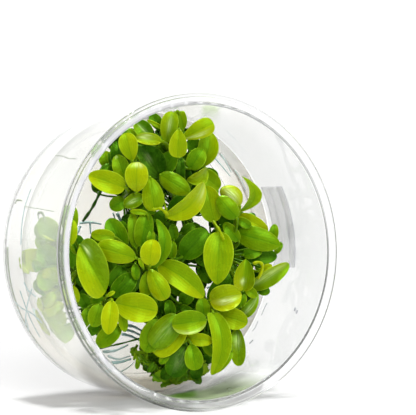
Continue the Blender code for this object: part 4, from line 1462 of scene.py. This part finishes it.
# A root or margin against the wall: thick ones taper to both ends as the root of a parabola
def wallRootSurface(pixels, radius, tone, last=False):
    flat = smoothPath(pixels, rootLook["wallRings"])
    path = np.array([atWall(pixel, radius + 0.06, last) for pixel in flat])
    path[1:-1] = (path[:-2] + 2 * path[1:-1] + path[2:]) / 4
    t = np.linspace(0, 1, len(path))
    taper = np.sqrt(np.clip(4 * t * (1 - t), 0.1, 1)) if radius > 0.4 else 1.0
    radii = radius * taper * (1 + 0.1 * np.sin(t * 23))
    return tubeSurface(path, radii, rootLook["sides"], tone)


makePiece("wall_roots", [wallRootSurface(*root) for root in wallRoots],
          rootSkin)
makePiece("wall_smears", [wallRootSurface(*mark, True) for mark in smears],
          rootMaterial("grey_smear", rootLook["smears"]))
makePiece("pressed_margins", [wallRootSurface(*strip) for strip in pressed],
          stalkSkin)

# Stems and roots that lie free: places with their heights, thickness and tone
looseStems = [
    ([(101, 190, 27), (96, 201, 24), (91, 210, 20), (83, 221, 14)], 0.50, 0.22),
    ([(99, 348.5, 22), (120, 344, 24), (143, 337.5, 27)], 0.30, 0.14),
    ([(153, 210, 41), (161, 208, 43), (168, 215, 43)], 0.50, 0.84),
    ([(213, 221, 42), (219, 229, 45), (224, 240, 46)], 0.45, 0.80),
    ([(253, 264, 41), (258.5, 261, 42), (263, 264, 42), (262.5, 271, 42), (258, 279, 41)],
     0.50, 0.92),
    ([(163, 194, 39), (164, 202, 39), (167, 212, 40)], 0.36, 0.70),
]


# A free stem: a tube along the smoothed places, its radius waving a little
def looseSurface(places, radius, tone):
    flat = smoothPath(places, rootLook["stemRings"])
    path = np.array([atHeight(place[:2], place[2]) for place in flat])
    t = np.linspace(0, 1, len(path))
    radii = radius * (1 + 0.2 * np.sin(t * 17))
    return tubeSurface(path, radii, rootLook["sides"], tone)


makePiece("loose_stems", [looseSurface(*stem) for stem in looseStems],
          stalkSkin)
print("scene: label, mist and roots made")

# The floor, the lights and the camera
studio = {
    "floor": 60.0,  # half its width in metres
    "paper": (0.64, 0.64, 0.64, 1.0),
    "horizon": 1.17,
    "zenith": 0.48,
    "flags": 0.12,  # how much darker the surroundings are to the left and right
    "room": 0.30,  # how much darker they are behind the camera
    "lamps": {  # the direction it comes from, angle across in degrees and strength
        "key": ((-0.08, -0.06, 1.0), 8.0, 2.7),
        "front": ((-0.22, -0.86, 0.58), 34.0, 1.6),
    },
    "bounces": 32,  # light runs a long way inside the clear rim
}


# One square of white paper
def makeFloor():
    size = studio["floor"]
    mesh = bpy.data.meshes.new("floor")
    mesh.from_pydata([(-size, -size, 0), (size, -size, 0), (size, size, 0),
                      (-size, size, 0)], [], [(0, 1, 2, 3)])
    material, wire = newMaterial("white_paper")
    grain = wire.noise(wire.place(), 30.0)
    finishMaterial(wire, {"Base Color": studio["paper"],
                          "Roughness": 0.8 + (grain - 0.5) * 0.1})
    mesh.materials.append(material)
    floor = bpy.data.objects.new("floor", mesh)
    bpy.context.scene.collection.objects.link(floor)


# A distant lamp that shines from a direction: it leans from upright by the direction's
# slope and is turned to its side
def makeLamp(name, direction, across, strength):
    lamp = bpy.data.lights.new(name, "SUN")
    lamp.angle = np.radians(across)
    lamp.energy = strength
    placed = bpy.data.objects.new(name, lamp)
    bpy.context.scene.collection.objects.link(placed)
    placed.location = direction
    placed.rotation_euler = (np.arctan2(np.hypot(*direction[:2]), direction[2]), 0,
                             np.arctan2(direction[0], -direction[1]))


# Surroundings are bright at the horizon and darker overhead, to the sides and behind the
# camera
def makeWorld():
    world = bpy.data.worlds.new("studio")
    world.use_nodes = True
    tree = world.node_tree
    tree.nodes.clear()
    wire = Wire(tree)
    direction = wire.node("TexCoord", None, None, "Generated")
    x, z = direction.parts()[::2]
    sides = abs(x).step(0.80, 0.97) * (1 - abs(z).step(0.15, 0.45))
    fall = studio["horizon"] - studio["zenith"]
    room = direction.dot(worldBack).step(0.35, 0.85) * z.step(0.10, 0.25)
    strength = ((studio["horizon"] - z.step(0.12, 0.6) * fall) * (1 - sides * studio["flags"])
                * (1 - room * studio["room"]))
    background = wire.node("Background", None, {"Color": (1.0, 1.0, 1.0, 1.0),
                                                "Strength": strength})
    output = tree.nodes.new("ShaderNodeOutputWorld")
    tree.links.new(background.socket, output.inputs["Surface"])
    bpy.context.scene.world = world


# The camera's lens is its focal length in pixels as a share of the picture's width
def makeCamera():
    lens = bpy.data.cameras.new("camera")
    lens.lens = camera["focal"] * camera["sensor"] / camera["photo"][0]
    lens.sensor_width = camera["sensor"]
    lens.clip_start = 0.01
    lens.clip_end = 200.0
    placed = bpy.data.objects.new("camera", lens)
    bpy.context.scene.collection.objects.link(placed)
    placed.location = cameraPlace * mm
    placed.rotation_euler = (np.pi / 2 - elevation, 0, azimuth)
    bpy.context.scene.camera = placed


makeFloor()
for name, settings in studio["lamps"].items():
    makeLamp(name, *settings)
makeWorld()
makeCamera()
bpy.context.scene.view_settings.view_transform = "Standard"
light = bpy.context.scene.cycles
light.max_bounces = studio["bounces"]
light.transmission_bounces = studio["bounces"]
light.glossy_bounces = studio["bounces"]
light.transparent_max_bounces = studio["bounces"]
print("scene: stage set")
